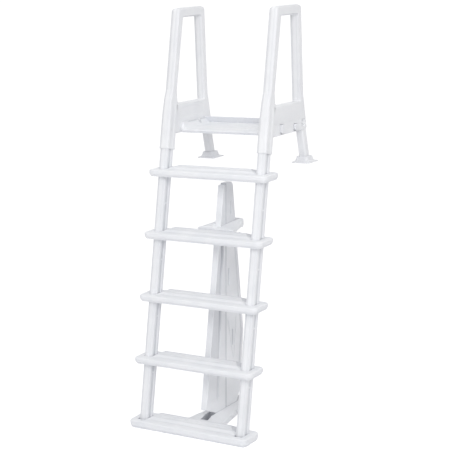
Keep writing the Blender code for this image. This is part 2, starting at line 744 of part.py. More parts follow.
def make_flange_screw(side):
    return screw(side + "_flange_screw", *flange_screw_line(SIDES[side] * UPRIGHT_SPACING / 2))


def platform_outline():
    """The platform's section from its rounded front edge to the lip along its back."""
    y, z = axis_y(WEB_BOTTOM) + PLATFORM_FRONT, WEB_BOTTOM
    back = y + PLATFORM_DEPTH
    lip = back - PLATFORM_LIP_DEPTH
    rise = PLATFORM_THICKNESS - PLATFORM_FRONT_THICKNESS
    run = PLATFORM_DEPTH - PLATFORM_LIP_DEPTH - PLATFORM_LIP_SLOPE
    edge = PLATFORM_FRONT_THICKNESS / 3
    outline = [
        (y, z, edge), (back, z, edge), (back, z + PLATFORM_LIP, edge), (lip, z + PLATFORM_LIP, edge),
        (lip - PLATFORM_LIP_SLOPE, z + PLATFORM_THICKNESS, 0),
    ]
    half = GROOVE_WIDTH / 2
    for row in range(PLATFORM_GROOVES):
        behind = run * (PLATFORM_GROOVES - row - 0.4) / PLATFORM_GROOVES
        top = z + PLATFORM_FRONT_THICKNESS + rise * behind / run
        for shift, drop in ((half, 0), (half / 2, GROOVE_DEPTH), (-half / 2, GROOVE_DEPTH), (-half, 0)):
            outline.append((y + behind + shift, top - drop, 0))
    outline.append((y, z + PLATFORM_FRONT_THICKNESS, edge))
    return rounded(outline, 3)


def platform_end():
    return UPRIGHT_SPACING / 2 - RAIL_WIDTH / 2 - FIT


def platform_screw_line(sign):
    """Point on the end lip's inner face, inward direction and length of the screw into the web."""
    y = axis_y(WEB_BOTTOM) + PLATFORM_FRONT + END_SCREW_BEHIND
    z = WEB_BOTTOM + PLATFORM_LIP - END_SCREW_DROP
    point = Vector((sign * (platform_end() - END_LIP_WIDTH - SEAT), y, z))
    return point, Vector((-sign, 0, 0)), END_LIP_WIDTH + RAIL_WIDTH / 2


def make_platform():
    end = platform_end()
    thing = plate("platform", [platform_outline()], 2 * end, sideways(0), PLATFORM_WHITE)
    web_out = UPRIGHT_SPACING / 2 + RAIL_WIDTH / 2 + TONGUE_OUT
    y = axis_y(WEB_BOTTOM) + PLATFORM_FRONT + PLATFORM_DEPTH - PLATFORM_LIP_DEPTH / 2
    z = WEB_BOTTOM + PLATFORM_FRONT_THICKNESS / 2
    for side, sign in SIDES.items():
        for index, tongue in enumerate(TONGUES):
            low, high = mirrored(*tongue_box(tongue, 0, end - BURY, web_out), sign)
            join(thing, box(f"platform_{side}_tongue_{index + 1}", low, high))
        low, high = mirrored(
            (end - END_LIP_WIDTH, y - END_LIP_DEPTH, z), (end, y, WEB_BOTTOM + PLATFORM_LIP - SEAT), sign
        )
        join(thing, box(f"platform_{side}_end_lip", low, high))
        cut(thing, hole(f"platform_{side}_screw_hole", *platform_screw_line(sign)))
    return thing


def make_platform_screw(side):
    return screw(side + "_platform_screw", *platform_screw_line(SIDES[side]))


def board_front(height):
    """Front edge of the barrier, which keeps its distance behind the treads."""
    return axis_y(height) + TREAD_TAIL + BOARD_GAP


def seam(height):
    """The joint between the two boards."""
    foot = tread_back(0) + TENON_REACH + TENON_WIDTH
    top = board_front(FRONT_BOARD_TOP) + FRONT_BOARD_TOP_WIDTH
    return foot + (top - foot) * height / FRONT_BOARD_TOP


def front_board_outline(grow=0.0, close=0.0):
    """The front board; close pulls its back edge off the seam."""
    tenon = tread_back(0) + TENON_REACH - grow
    return [
        Vector(p)
        for p in (
            (board_front(FRONT_BOARD_TOP) - grow, FRONT_BOARD_TOP),
            (board_front(BOW_HEIGHT) - grow, BOW_HEIGHT),
            (tenon, FOOT_HEIGHT - grow),
            (tenon, BOARD_FOOT - grow),
            (seam(BOARD_FOOT) - close, BOARD_FOOT - grow),
            (seam(FRONT_BOARD_TOP) - close, FRONT_BOARD_TOP),
        )
    ]


def board_rear():
    """Upper end of the barrier's rear edge."""
    return seam(REAR_BOARD_TOP) + REAR_BOARD_TOP_WIDTH + REAR_BULGE


def rear_board_outline(grow=0.0, close=0.0):
    """The rear board; close pulls its front edge off the seam."""
    rear = board_rear() + grow
    foot = rear - REAR_TENON_INSET
    corners = [
        (seam(BOARD_FOOT) + close, BOARD_FOOT - grow, 0),
        (foot, BOARD_FOOT - grow, 0),
        (foot, FOOT_HEIGHT, 0),
        (rear - REAR_KNEE_INSET, REAR_KNEE_LOW, 0),
        (rear + REAR_KNEE_BULGE, REAR_KNEE_HIGH, 0),
        (rear, REAR_KNEE_HIGH + REAR_STRAIGHT, 0),
        (rear - REAR_BULGE, REAR_BOARD_TOP, REAR_TOP_RADIUS),
        (seam(REAR_BOARD_TOP) + close, REAR_BOARD_TOP, 0),
    ]
    return rounded(corners, 4)


def barrier_bolt_line(bracket, board):
    """Point on the bracket's right wall, outward direction and length of a bolt through one board."""
    sizes = BRACKETS[bracket]
    middle = seam(sizes["bolt"]) + (-1 if board == "front" else 1) * BOARD_THICKNESS
    taper = (BRACKET_HALF_FRONT - BRACKET_HALF_REAR) / (sizes["rear"] - sizes["front"])
    reach = bracket_half(bracket, middle) + taper * BOLT_HEAD_RADIUS + SEAT
    return Vector((reach, middle, sizes["bolt"])), Vector((1, 0, 0)), 2 * reach


def make_board(kind):
    name = f"barrier_{kind}_board"
    outline = front_board_outline(0, SEAT / 2) if kind == "front" else rear_board_outline(0, SEAT / 2)
    thing = plate(name, [outline], BOARD_THICKNESS, sideways(0), BOARD_WHITE)
    soften(thing, BOARD_EDGE, 1)
    for bracket in BRACKETS:
        cut(thing, hole(f"{name}_{bracket}_bolt_hole", *barrier_bolt_line(bracket, kind), BOLT_RADIUS))
    return thing


def bracket_half(bracket, y):
    """Half the bracket's width at its underside."""
    front, rear = BRACKETS[bracket]["front"], BRACKETS[bracket]["rear"]
    share = (y - front) / (rear - front)
    return BRACKET_HALF_FRONT + (BRACKET_HALF_REAR - BRACKET_HALF_FRONT) * share


def bracket_points(bracket, wall):
    """A wedge that narrows to the rear and rises to a ridge along the boards, less a wall all round."""
    sizes = BRACKETS[bracket]
    front = sizes["front"] + (BRACKET_FRONT_WALL if wall else 0)
    rear = sizes["rear"] - wall
    low = sizes["low"] - (BURY if wall else 0)
    brow = sizes["low"] + sizes["height"] * BRACKET_BROW - wall / 2
    ridge = sizes["low"] + sizes["height"] - wall
    ends = ((front, bracket_half(bracket, front) - wall), (rear, bracket_half(bracket, rear) - wall))
    points = []
    for sign in (-1, 1):
        for y, half in ends:
            points += [(sign * half, y, low), (sign * half, y, brow)]
            points.append((sign * min(BRACKET_RIDGE_HALF, half), y, ridge))
    return points


def make_bracket(bracket):
    name = BRACKETS[bracket]["name"]
    thing = hull(name, bracket_points(bracket, 0), Matrix(), BRACKET_WHITE)
    cavity = hull(name + "_cavity", bracket_points(bracket, BRACKET_WALL), Matrix())
    cut(thing, cavity)
    wide = BOARD_THICKNESS + 2 * FIT
    front = plate(name + "_front_slot", [front_board_outline(FIT, -BURY)], wide, sideways(0))
    rear = plate(name + "_rear_slot", [rear_board_outline(FIT, -BURY)], wide, sideways(0))
    cut(thing, front, rear)
    if bracket == "lower":
        low = (-wide / 2, tread_back(0) + FOOT_WINDOW_REACH, FOOT_HEIGHT - BRACKET_WALL * 2)
        high = (wide / 2, tread_back(0) + TENON_REACH, FOOT_HEIGHT + BURY)
        cut(thing, box(name + "_window", low, high))
    for side, sign in SIDES.items():
        cut(thing, hole(f"{name}_{side}_screw_hole", *bracket_screw_line(bracket, sign)))
    for board in ("front", "rear"):
        cut(thing, hole(f"{name}_{board}_bolt_hole", *barrier_bolt_line(bracket, board), BOLT_RADIUS))
    return thing


def bracket_screw_line(bracket, sign):
    """Point on the bracket's front wall from inside, direction of the head and length into the tread."""
    sizes = BRACKETS[bracket]
    point = Vector((sign * BRACKET_SCREW_REACH, sizes["front"] + BRACKET_FRONT_WALL + SEAT, sizes["screw"]))
    return point, Vector((0, 1, 0)), BRACKET_FRONT_WALL + SCREW_BITE * 4


def make_bracket_screw(bracket, side):
    return screw(f"{bracket}_bracket_{side}_screw", *bracket_screw_line(bracket, SIDES[side]))


def make_barrier_bolt(bracket, board):
    point, direction, length = barrier_bolt_line(bracket, board)
    return bolt(f"barrier_{bracket}_{board}_bolt", point, direction, length + NUT_HEIGHT + SCREW_BITE)


def make_barrier_nut(bracket, board):
    point, direction, length = barrier_bolt_line(bracket, board)
    middle = point - direction * (length + NUT_HEIGHT / 2)
    loops = [ring(BOLT_HEAD_RADIUS, 6), ring(BOLT_RADIUS + FIT, ROUND_STEPS)]
    return plate(f"barrier_{bracket}_{board}_nut", loops, NUT_HEIGHT, facing(middle, direction), STEEL)


for old in list(bpy.data.objects):
    bpy.data.objects.remove(old)
LADDER = collection("pool_ladder")
CUTTERS = collection("cutters")

UPRIGHT_WHITE = finish("upright_white", (0.80, 0.81, 0.83), 0.42)
TREAD_WHITE = finish("tread_white", (0.80, 0.81, 0.84), 0.48)
RAIL_WHITE = finish("handrail_white", (0.81, 0.82, 0.84), 0.40)
PLATFORM_WHITE = finish("platform_white", (0.80, 0.81, 0.84), 0.48)
BOARD_WHITE = finish("barrier_white", (0.78, 0.79, 0.82), 0.46)
BRACKET_WHITE = finish("bracket_white", (0.79, 0.80, 0.83), 0.46)
FLANGE_WHITE = finish("flange_white", (0.78, 0.79, 0.82), 0.44)
STEEL = finish("stainless_steel", (0.58, 0.58, 0.57), 0.32, 1.0)

UPPER_TOP = tread_top(UPPER_BRACKET_TREAD)
BRACKETS = {
    "upper": {
        "name": "upper_barrier_bracket",
        "tread": UPPER_BRACKET_TREAD,
        "front": tread_back(UPPER_BRACKET_TREAD) + SEAT,
        "rear": board_rear() + UPPER_BRACKET_PAST,
        "low": UPPER_TOP - TREAD_THICKNESS,
        "height": UPPER_BRACKET_HEIGHT,
        "screw": UPPER_TOP - TREAD_THICKNESS / 2,
        "bolt": UPPER_TOP - TREAD_THICKNESS + UPPER_BOLT_RISE,
    },
    "lower": {
        "name": "barrier_foot",
        "tread": 0,
        "front": tread_back(0) + SEAT,
        "rear": board_rear() + FOOT_PAST,
        "low": 0.0,
        "height": FOOT_HEIGHT,
        "screw": BOTTOM_TREAD_THICKNESS / 2,
        "bolt": FOOT_BOLT_RISE,
    },
}

fixed = [make_tread(index) for index in range(TREAD_COUNT)]
fixed += [make_board(kind) for kind in ("front", "rear")]
fixed += [make_bracket(bracket) for bracket in BRACKETS]
sliding = [make_platform()]
for side in SIDES:
    fixed.append(make_upright(side))
    fixed += [make_tread_screw(side, index) for index in range(TREAD_COUNT)]
    fixed += [make_plug(side, index) for index in range(PLUG_COUNT)]
    fixed += [make_bracket_screw(bracket, side) for bracket in BRACKETS]
    sliding += [make_handrail(side), make_leg(side), make_flange(side)]
    sliding += [make_lock_screw(side), make_leg_bolt(side), make_flange_screw(side), make_platform_screw(side)]
for bracket in BRACKETS:
    fixed += [make_barrier_bolt(bracket, board) for board in ("front", "rear")]
    fixed += [make_barrier_nut(bracket, board) for board in ("front", "rear")]

# The handrails, platform, legs and flanges ride on one slide along the uprights' axis.
slide = bpy.data.objects.new("height_slide", None)
slide.matrix_world = leaning(0, SLEEVE_BOTTOM)
LADDER.objects.link(slide)
bpy.context.view_layer.update()
for piece in sliding:
    piece.parent = slide
    piece.matrix_parent_inverse = slide.matrix_world.inverted()
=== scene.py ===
# %% [markdown]
# A ladder for an above-ground pool: five moulded treads on two fluted posts, two looped handrails with a
# platform between them, and a barrier board behind the treads. Everything but the fasteners is white
# polyethylene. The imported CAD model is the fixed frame, and each visible piece is drawn again here with
# the round edges, grooves and pockets that a mould leaves.

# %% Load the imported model
import math
import bmesh
import bpy
import numpy as np
from mathutils import Matrix, Vector


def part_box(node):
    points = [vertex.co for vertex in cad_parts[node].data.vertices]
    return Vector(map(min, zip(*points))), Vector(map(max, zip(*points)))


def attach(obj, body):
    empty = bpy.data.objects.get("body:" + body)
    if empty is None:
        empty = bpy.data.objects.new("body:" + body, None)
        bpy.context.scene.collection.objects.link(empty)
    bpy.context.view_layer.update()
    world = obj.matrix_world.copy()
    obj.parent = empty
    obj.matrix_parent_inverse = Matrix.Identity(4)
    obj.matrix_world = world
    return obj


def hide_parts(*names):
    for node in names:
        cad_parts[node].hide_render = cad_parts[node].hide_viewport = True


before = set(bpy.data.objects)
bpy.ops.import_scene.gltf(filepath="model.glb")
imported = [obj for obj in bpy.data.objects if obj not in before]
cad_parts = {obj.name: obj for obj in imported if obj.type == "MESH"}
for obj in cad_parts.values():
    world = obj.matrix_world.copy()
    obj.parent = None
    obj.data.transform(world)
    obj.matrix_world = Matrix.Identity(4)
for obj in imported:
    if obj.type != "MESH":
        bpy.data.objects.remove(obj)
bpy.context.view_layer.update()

# %% [markdown]
# The camera stands in front of the ladder, a little to its right and above its middle, and looks down. A
# long lens from six metres keeps the posts nearly parallel. Its place could be set by eye, but these
# angles were worked out from the treads' ends and the posts' outlines, so they are written as angles and
# a distance.

# %% Camera
CAMERA_TURN, CAMERA_TILT, CAMERA_ROLL = np.radians([32.38, 11.51, -2.37])
CAMERA_DISTANCE = 5.95
CAMERA_AIM = np.array([0.234, -0.340939, 1.0445])
SENSOR = 36.0
FOCAL_SHARE = 1301 / 450  # the lens in picture widths

view = np.array([
    -math.sin(CAMERA_TURN) * math.cos(CAMERA_TILT),
    math.cos(CAMERA_TURN) * math.cos(CAMERA_TILT),
    -math.sin(CAMERA_TILT),
])
level = np.array([math.cos(CAMERA_TURN), math.sin(CAMERA_TURN), 0.0])
above = np.cross(level, view)
across = math.cos(CAMERA_ROLL) * level + math.sin(CAMERA_ROLL) * above
upward = np.cross(across, view)
eye = CAMERA_AIM - CAMERA_DISTANCE * view
stand = np.vstack([np.column_stack([across, upward, -view, eye]), [0, 0, 0, 1]])
lens = bpy.data.cameras.new("camera")
lens.sensor_width = SENSOR
lens.lens = SENSOR * FOCAL_SHARE
camera = bpy.data.objects.new("camera", lens)
camera.matrix_world = Matrix(stand.tolist())
bpy.context.scene.collection.objects.link(camera)
bpy.context.scene.camera = camera
print("camera at", eye.round(3), "lens", round(lens.lens, 1))

# %% [markdown]
# Colours are picked as they look on a screen, in hex, while a shader works in linear light, so one
# function turns the one into the other. Shader trees are made with one small function that adds a node,
# sets its inputs and links it, which keeps each material short enough to read as a recipe.

# %% Colour and node helpers
def linear(code):
    """sRGB hex to linear light: c / 12.92 when dark, else ((c + 0.055) / 1.055) to the power 2.4."""
    c = np.array([int(code[k:k + 2], 16) for k in (1, 3, 5)]) / 255
    return (*np.where(c <= 0.04045, c / 12.92, ((c + 0.055) / 1.055) ** 2.4), 1.0)


def add(tree, kind, inputs=None, **settings):
    """Adds one node. A value of inputs is a number or colour for that socket, or an output to link."""
    node = tree.nodes.new(kind)
    for key, value in settings.items():
        setattr(node, key, value)
    for key, value in (inputs or {}).items():
        if isinstance(value, bpy.types.NodeSocket):
            tree.links.new(value, node.inputs[key])
        else:
            node.inputs[key].default_value = value
    return node


def blank(name):
    """A material with an empty tree, and its output node."""
    material = bpy.data.materials.new(name)
    material.use_nodes = True
    material.node_tree.nodes.clear()
    return material, material.node_tree, add(material.node_tree, "ShaderNodeOutputMaterial")


print("white", linear("#F1F2F5"))

# %% [markdown]
# The real ladder is blow-moulded polyethylene: a hollow skin pressed against a steel mould by air. That
# gives three things to see. The colour is a cool white that clouds a little where the skin is thicker. The
# surface wanders by a fraction of a millimetre over a hand's width, because the skin shrinks as it cools.
# And the mould's blasted face leaves a fine grain, which makes the sheen satin. A flat white would show
# none of this. Shade is also painted into the colour: each piece gives a value at each point, kept as an
# attribute of its mesh, and where it is high a grey is mixed in, in flutes, grooves, gaps, seams, creases
# and on bevels.

# %% Moulded polyethylene
MM = 0.001
POLYETHYLENE_IOR = 1.53
CLOUD = 90 * MM
CLOUD_DARK, CLOUD_PALE = 0.30, 0.62  # values of the cloud noise that give the two tones
SINK, SINK_DEPTH, SINK_STRENGTH = 45 * MM, 1.2 * MM, 0.25
GRAIN, GRAIN_DEPTH = 1.6 * MM, 0.25 * MM  # real grain is near 0.3 mm wide; drawn coarser so that it shows
SHEEN_SPREAD = 0.06
# the grey of the painted shade
PAINTED_SHADE_COLOUR = "#B4B6BD"


def moulded_polyethylene(name, pale, shade, roughness, grain):
    """Two tones of white mixed by cloud noise and greyed by painted shade. The grain varies the roughness,
    and the sinks and the grain make the bump."""
    material, tree, output = blank(name)
    place = add(tree, "ShaderNodeTexCoord").outputs["Object"]
    cloud = add(tree, "ShaderNodeTexNoise", {"Vector": place, "Scale": 1 / CLOUD, "Detail": 3.0})
    tone = add(tree, "ShaderNodeValToRGB", {"Fac": cloud.outputs["Fac"]})
    dark_end, pale_end = tone.color_ramp.elements
    dark_end.position, dark_end.color = CLOUD_DARK, linear(shade)
    pale_end.position, pale_end.color = CLOUD_PALE, linear(pale)
    # the painted shade at each point: how far the tone is greyed towards that grey
    painted_shade_amount = add(tree, "ShaderNodeAttribute", attribute_name="painted_shade")
    painted_shade_layer = add(tree, "ShaderNodeMixRGB", {
        "Fac": painted_shade_amount.outputs["Fac"], "Color1": tone.outputs["Color"], "Color2": linear(PAINTED_SHADE_COLOUR),
    })
    fine = add(tree, "ShaderNodeTexNoise", {"Vector": place, "Scale": 1 / GRAIN, "Detail": 2.0})
    sheen = add(tree, "ShaderNodeMapRange", {
        "Value": fine.outputs["Fac"], "To Min": roughness - SHEEN_SPREAD, "To Max": roughness + SHEEN_SPREAD,
    })
    sink = add(tree, "ShaderNodeTexNoise", {"Vector": place, "Scale": 1 / SINK, "Detail": 1.0})
    wander = add(tree, "ShaderNodeBump", {
        "Height": sink.outputs["Fac"], "Strength": SINK_STRENGTH, "Distance": SINK_DEPTH,
    })
    bump = add(tree, "ShaderNodeBump", {
        "Height": fine.outputs["Fac"], "Strength": grain, "Distance": GRAIN_DEPTH,
        "Normal": wander.outputs["Normal"],
    })
    plastic = add(tree, "ShaderNodeBsdfPrincipled", {
        "Base Color": painted_shade_layer.outputs["Color"], "Roughness": sheen.outputs["Result"], "IOR": POLYETHYLENE_IOR,
        "Normal": bump.outputs["Normal"],
    })
    tree.links.new(plastic.outputs["BSDF"], output.inputs["Surface"])
    return material


post_plastic = moulded_polyethylene("moulded_polyethylene_posts", "#F3F4F7", "#EEF0F3", 0.42, 0.18)
tread_plastic = moulded_polyethylene("moulded_polyethylene_treads", "#F3F4F7", "#EDEFF3", 0.50, 0.30)
rail_plastic = moulded_polyethylene("moulded_polyethylene_handrails", "#F3F4F6", "#EEEFF2", 0.40, 0.15)
deck_plastic = moulded_polyethylene("moulded_polyethylene_platform", "#F2F3F6", "#ECEEF2", 0.50, 0.30)
board_plastic = moulded_polyethylene("moulded_polyethylene_barrier", "#F3F4F7", "#EEF0F3", 0.46, 0.22)
bracket_plastic = moulded_polyethylene("moulded_polyethylene_brackets", "#F3F4F7", "#EEF0F3", 0.46, 0.22)
flange_plastic = moulded_polyethylene("moulded_polyethylene_flanges", "#F0F1F4", "#EAEBEF", 0.44, 0.18)
print(len(bpy.data.materials), "materials so far")

# %% [markdown]
# The screws and bolts are stainless steel, turned on a lathe and left bright. Turning leaves rings too
# fine to see one by one, so they only blur the highlight; a noise in the roughness gives the slightly
# dulled look of metal that has been in pool water. A metal takes its colour from its reflection, so
# metallic is full.

# %% Stainless steel
STAIN = 4 * MM
BRIGHT, DULL = 0.24, 0.42
steel, tree, output = blank("stainless_steel_turned")
place = add(tree, "ShaderNodeTexCoord").outputs["Object"]
stain = add(tree, "ShaderNodeTexNoise", {"Vector": place, "Scale": 1 / STAIN, "Detail": 3.0})
dull = add(tree, "ShaderNodeMapRange", {"Value": stain.outputs["Fac"], "To Min": BRIGHT, "To Max": DULL})
metal = add(tree, "ShaderNodeBsdfPrincipled", {
    "Base Color": linear("#C9C8C4"), "Metallic": 1.0, "Roughness": dull.outputs["Result"],
})
tree.links.new(metal.outputs["BSDF"], output.inputs["Surface"])
print("steel", steel.name)

# %% [markdown]
# Every new piece is one or more grids of points. A grid becomes quads, grids that share a border are
# welded along it, and a loft's two ends are closed with a flat face. Normals are worked out once the shell
# is closed, so a grid can run either way round. Corners sharper than an angle stay crisp and the rest is
# shaded smooth.

# %% From grids to a mesh
WELD = 2e-6
CRISP = math.radians(42)


def grid_faces(rows, columns, start, wrap):
    """Quads of a grid: point (i, j) with (i, j+1), (i+1, j+1) and (i+1, j). Wrap joins the last column to
    the first."""
    i, j = np.meshgrid(np.arange(rows - 1), np.arange(columns if wrap else columns - 1), indexing="ij")
    k = (j + 1) % columns
    quads = np.stack([i * columns + j, i * columns + k, (i + 1) * columns + k, (i + 1) * columns + j], -1)
    return (start + quads.reshape(-1, 4)).tolist()


def mould(name, grids, material, body, nodes=(), caps=False, painted_shade_amount=None):
    """Welds grids, a list of (points, wrap), to one mesh and fixes it to a body in place of the CAD nodes.
    The last argument holds the painted shade at each point, 0 to 1."""
    faces, start = [], 0
    for points, wrap in grids:
        rows, columns = points.shape[:2]
        faces += grid_faces(rows, columns, start, wrap)
        if caps:
            faces.append(list(range(start, start + columns)))
            faces.append(list(range(start + (rows - 1) * columns, start + rows * columns)))
        start += rows * columns
    mesh = bpy.data.meshes.new(name)
    mesh.from_pydata(np.concatenate([points.reshape(-1, 3) for points, wrap in grids]).tolist(), [], faces)
    # the painted shade is kept as a point attribute
    if painted_shade_amount is not None:
        painted_shade_layer = mesh.attributes.new("painted_shade", "FLOAT", "POINT")
        painted_shade_layer.data.foreach_set("value", painted_shade_amount.astype(np.float32))
    shell = bmesh.new()
    shell.from_mesh(mesh)
    bmesh.ops.remove_doubles(shell, verts=shell.verts, dist=WELD)
    bmesh.ops.recalc_face_normals(shell, faces=shell.faces)
    open_edges = sum(not edge.is_manifold for edge in shell.edges)
    shell.to_mesh(mesh)
    shell.free()
    mesh.shade_smooth()
    mesh.set_sharp_from_angle(angle=CRISP)
    mesh.materials.append(material)
    piece = bpy.data.objects.new(name, mesh)
    bpy.context.scene.collection.objects.link(piece)
    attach(piece, body)
    if nodes:
        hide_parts(*nodes)
    print(name, len(mesh.polygons), "faces,", open_edges, "open edges")


print("weld", WELD, "crisp above", round(math.degrees(CRISP)), "degrees")

# %% [markdown]
# Treads, platform, boards and brackets are all slabs: two faces that may carry any relief, and a wall
# between them with rounded edges. A cube with a bevel could not carry the grooves, so each face is a height
# over two parameters. Rows run along one direction and start and end on the slab's outline, and the wall
# follows the outline outwards, round the upper edge, straight down, and round the lower edge back in.

# %% Slab surface
X, Y, Z = np.eye(3)
WALL_ROWS = np.array([0.08, 0.92])[:, None, None]  # two rows close to the edges keep the wall flat


def ease(t):
    """0 below 0, 1 above 1, and 3t^2 - 2t^3 between, which starts and ends level."""
    t = np.clip(t, 0, 1)
    return t * t * (3 - 2 * t)


def slab(rows, shares, low, high, top, bottom, edge, crown, skirt, steps=6, bulges=(2.0, 2.0)):
    """Face point: (low + share * (high - low), row, height). Wall point: the outline moved out along its
    normal by edge * sin(a)^(2/bulge), and down from the top by crown * (1 - cos(a)^(2/bulge)), or up from
    the bottom by skirt times the same. A bulge of 2 is a quarter round, and 1 is a straight chamfer."""
    start = low(rows)[:, None]
    u = start + (high(rows)[:, None] - start) * shares
    v = np.broadcast_to(rows[:, None], u.shape)
    faces = [np.stack([u, v, height(u, v)], -1) for height in (top, bottom)]
    loops = [np.concatenate([f[0, :-1], f[:-1, -1], f[-1, :0:-1], f[:0:-1, 0]]) for f in faces]
    ahead = np.roll(loops[0], -1, 0) - np.roll(loops[0], 1, 0)
    outward = np.stack([ahead[:, 1], -ahead[:, 0], 0 * ahead[:, 0]], -1)
    outward /= np.linalg.norm(outward, axis=1, keepdims=True)
    turn = np.linspace(0, np.pi / 2, steps)[:, None, None]

    def rim(loop, climb, bulge):
        out = edge * np.sin(turn) ** (2 / bulge) * outward
        return loop + out + climb * (1 - np.cos(turn) ** (2 / bulge)) * Z

    upper, lower = rim(loops[0], -crown, bulges[0]), rim(loops[1], skirt, bulges[1])
    wall = upper[-1] * (1 - WALL_ROWS) + lower[-1] * WALL_ROWS
    return [(faces[0], False), (faces[1], False), (np.concatenate([upper, wall, lower[::-1]]), True)]


def placed(grids, origin, u_axis, v_axis, w_axis):
    """Carries grids from their own (u, v, w) to the ladder's frame."""
    axes = np.array([u_axis, v_axis, w_axis], float)
    return [(np.asarray(origin, float) + points @ axes, wrap) for points, wrap in grids]


def over_faces(grids, value, count=1):
    """A value for each point of the first grids, from its first two coordinates, and 0 on the others."""
    parts = [value(*points[..., :2].reshape(-1, 2).T) * (index < count)
             for index, (points, wrap) in enumerate(grids)]
    return np.concatenate(parts)


print("ease", ease(np.array([0, 0.25, 0.5, 1.0])))

# %% [markdown]
# A surface drawn on a grid needs its points where something happens: close together on corner arcs, ramps
# and grooves, and far apart on the flat. An even grid fine enough for the grooves would have ten times the
# faces. These helpers make such lists of rows and columns, and the outline of a rounded rectangle that
# several pieces share.

# %% Rows, columns and rounded outlines
def spaced(*runs):
    """Joins runs (start, end, count) of even steps into one rising list without repeats."""
    values = np.concatenate([np.linspace(*run) for run in runs])
    return np.unique(values.round(6))


def both_ways(half):
    """Shares from 0 to 1 that lie alike to both sides of the middle, from distances to one side."""
    return 0.5 + 0.5 * np.unique(np.concatenate([-half, half])) / half[-1]


def rounded_half(v, half_u, half_v, radius):
    """Half width at v of a rounded rectangle: full between the corner arcs, and along the arcs' circles."""
    past = np.maximum(abs(v) - half_v + radius, 0)
    return half_u - radius + np.sqrt(np.maximum(radius ** 2 - past ** 2, 0))


def rounded_rows(half_v, radius, steps, between=()):
    """Rows for that outline: close together on the corner arcs, and the given ones between them."""
    arc = radius * np.sin(np.linspace(0, np.pi / 2, steps))
    return np.unique(np.concatenate([half_v - radius + arc, radius - half_v - arc, between]).round(6))


def box_distance(x, y, half_x, half_y, corner):
    """Signed distance to a rounded box: outside part of |p| - half, plus the inside part, less the corner."""
    qx, qy = abs(x) - half_x + corner, abs(y) - half_y + corner
    return np.hypot(np.maximum(qx, 0), np.maximum(qy, 0)) + np.minimum(np.maximum(qx, qy), 0) - corner


print("rows", spaced((0, 1, 3), (0.5, 2, 4)))

# %% [markdown]
# A tread is a blown bar with round ends and a standing surface raised between the posts. That surface has
# sloped sides with painted shade along the front slope's top and foot and along the back, a wide facet at the
# back on the right with a painted shadow of the post on it, and two grip grooves. Each post drops through a
# socket, drawn as a pocket round the post and greyed with painted shade, so the gap shows as a dark line.
# Raised plates on a bevelled bar could stand for this, but one height over the tread's length and depth gives
# it as a single skin, as the mould does.

# %% Tread relief
LEAN = math.radians(12.7)
SLOPE = math.tan(LEAN)
POST_X = 0.2775
POST_HALF_WIDTH, POST_HALF_DEPTH = 0.022, 0.0285
SOCKET_GAP, SOCKET_CORNER, SOCKET_WALL = 0.0022, 0.007, 0.0014
POCKET = 0.010
GRIP_RISE, GRIP_SLOPE = 0.010, 0.022
GRIP_FRONT, GRIP_BACK = -0.030, 0.060
GRIP_WIDE, GRIP_NARROW = 0.2515, 0.2380
NARROWS_FROM = GRIP_FRONT + 0.032
SLOPE_AT = [-0.020, 0.0, 0.050]  # places from front to back at which the end slopes' widths are given
LEFT_SLOPE, RIGHT_FACET = [GRIP_SLOPE, GRIP_SLOPE, 0.012], [GRIP_SLOPE, 0.034, 0.060]
GRIP_GROOVES = np.array([0.012, 0.034])
GROOVE_END, GROOVE_DEPTH, GROOVE_HALF = 0.180, 0.0016, 0.002
# painted shade on the front slope's edges and along the back, and the post's painted shadow on the facet
LINE_PAINTED_SHADE, BACK_PAINTED_SHADE, FACET_PAINTED_SHADOW = 0.14, 0.16, 0.55


def pocket(x, y, shift, front):
    """Depth of the gap round the two posts, whose axis meets this face at y = shift; the gap is longer by
    front at the front."""
    away = box_distance(abs(x) - POST_X, y - shift + front / 2, POST_HALF_WIDTH + SOCKET_GAP,
                        POST_HALF_DEPTH + SOCKET_GAP + front / 2, SOCKET_CORNER)
    return POCKET * ease(-away / SOCKET_WALL)


def grip_end(x, y):
    """Half length of the standing surface at y, which narrows to the back, and the width of its end slope.
    To the back the left slope steepens, and the right one widens to a facet."""
    taper = np.clip((y - NARROWS_FROM) / (GRIP_BACK - NARROWS_FROM), 0, 1)
    slope = np.where(x > 0, np.interp(y, SLOPE_AT, RIGHT_FACET), np.interp(y, SLOPE_AT, LEFT_SLOPE))
    return GRIP_WIDE + (GRIP_NARROW - GRIP_WIDE) * taper, slope


def grip(x, y):
    """Standing surface: the least of the ramps from its front, back and ends, less the grooves."""
    ramp = np.minimum((y - GRIP_FRONT) / GRIP_SLOPE, (GRIP_BACK - y) / (GRIP_SLOPE / 4))
    end, slope = grip_end(x, y)
    ramp = np.minimum(ramp, (end - abs(x)) / slope)
    rise = GRIP_RISE * (0.25 * ease(ramp) + 0.75 * np.clip(ramp, 0, 1))
    near = abs(y[..., None] - GRIP_GROOVES).min(-1)
    return rise - GROOVE_DEPTH * ease((GROOVE_END - abs(x)) / 0.004) * ease(1.6 - near / GROOVE_HALF)


def tread_painted_shade(x, y):
    """Painted shade along the front slope's two edges and along the back edge, and the post's painted shadow
    on the facet at the right end.
    """
    end, slope = grip_end(x, y)
    line = np.minimum(abs(y - GRIP_FRONT), abs(y - GRIP_FRONT - GRIP_SLOPE))
    front = LINE_PAINTED_SHADE * ease(1.6 - line / 0.0026) * ease((0.235 - abs(x)) / 0.01)
    back = BACK_PAINTED_SHADE * ease((y - GRIP_BACK + 0.020) / 0.006) * ease((end - abs(x)) / 0.006)
    on_facet = ease((x - end + slope) / 0.006) * ease((end - x) / 0.004) * ease((y + 0.006) / 0.012)
    return np.maximum(np.maximum(front, back), FACET_PAINTED_SHADOW * on_facet)


print("grip rises", grip(np.zeros(2), np.array([GRIP_FRONT, 0.0])))

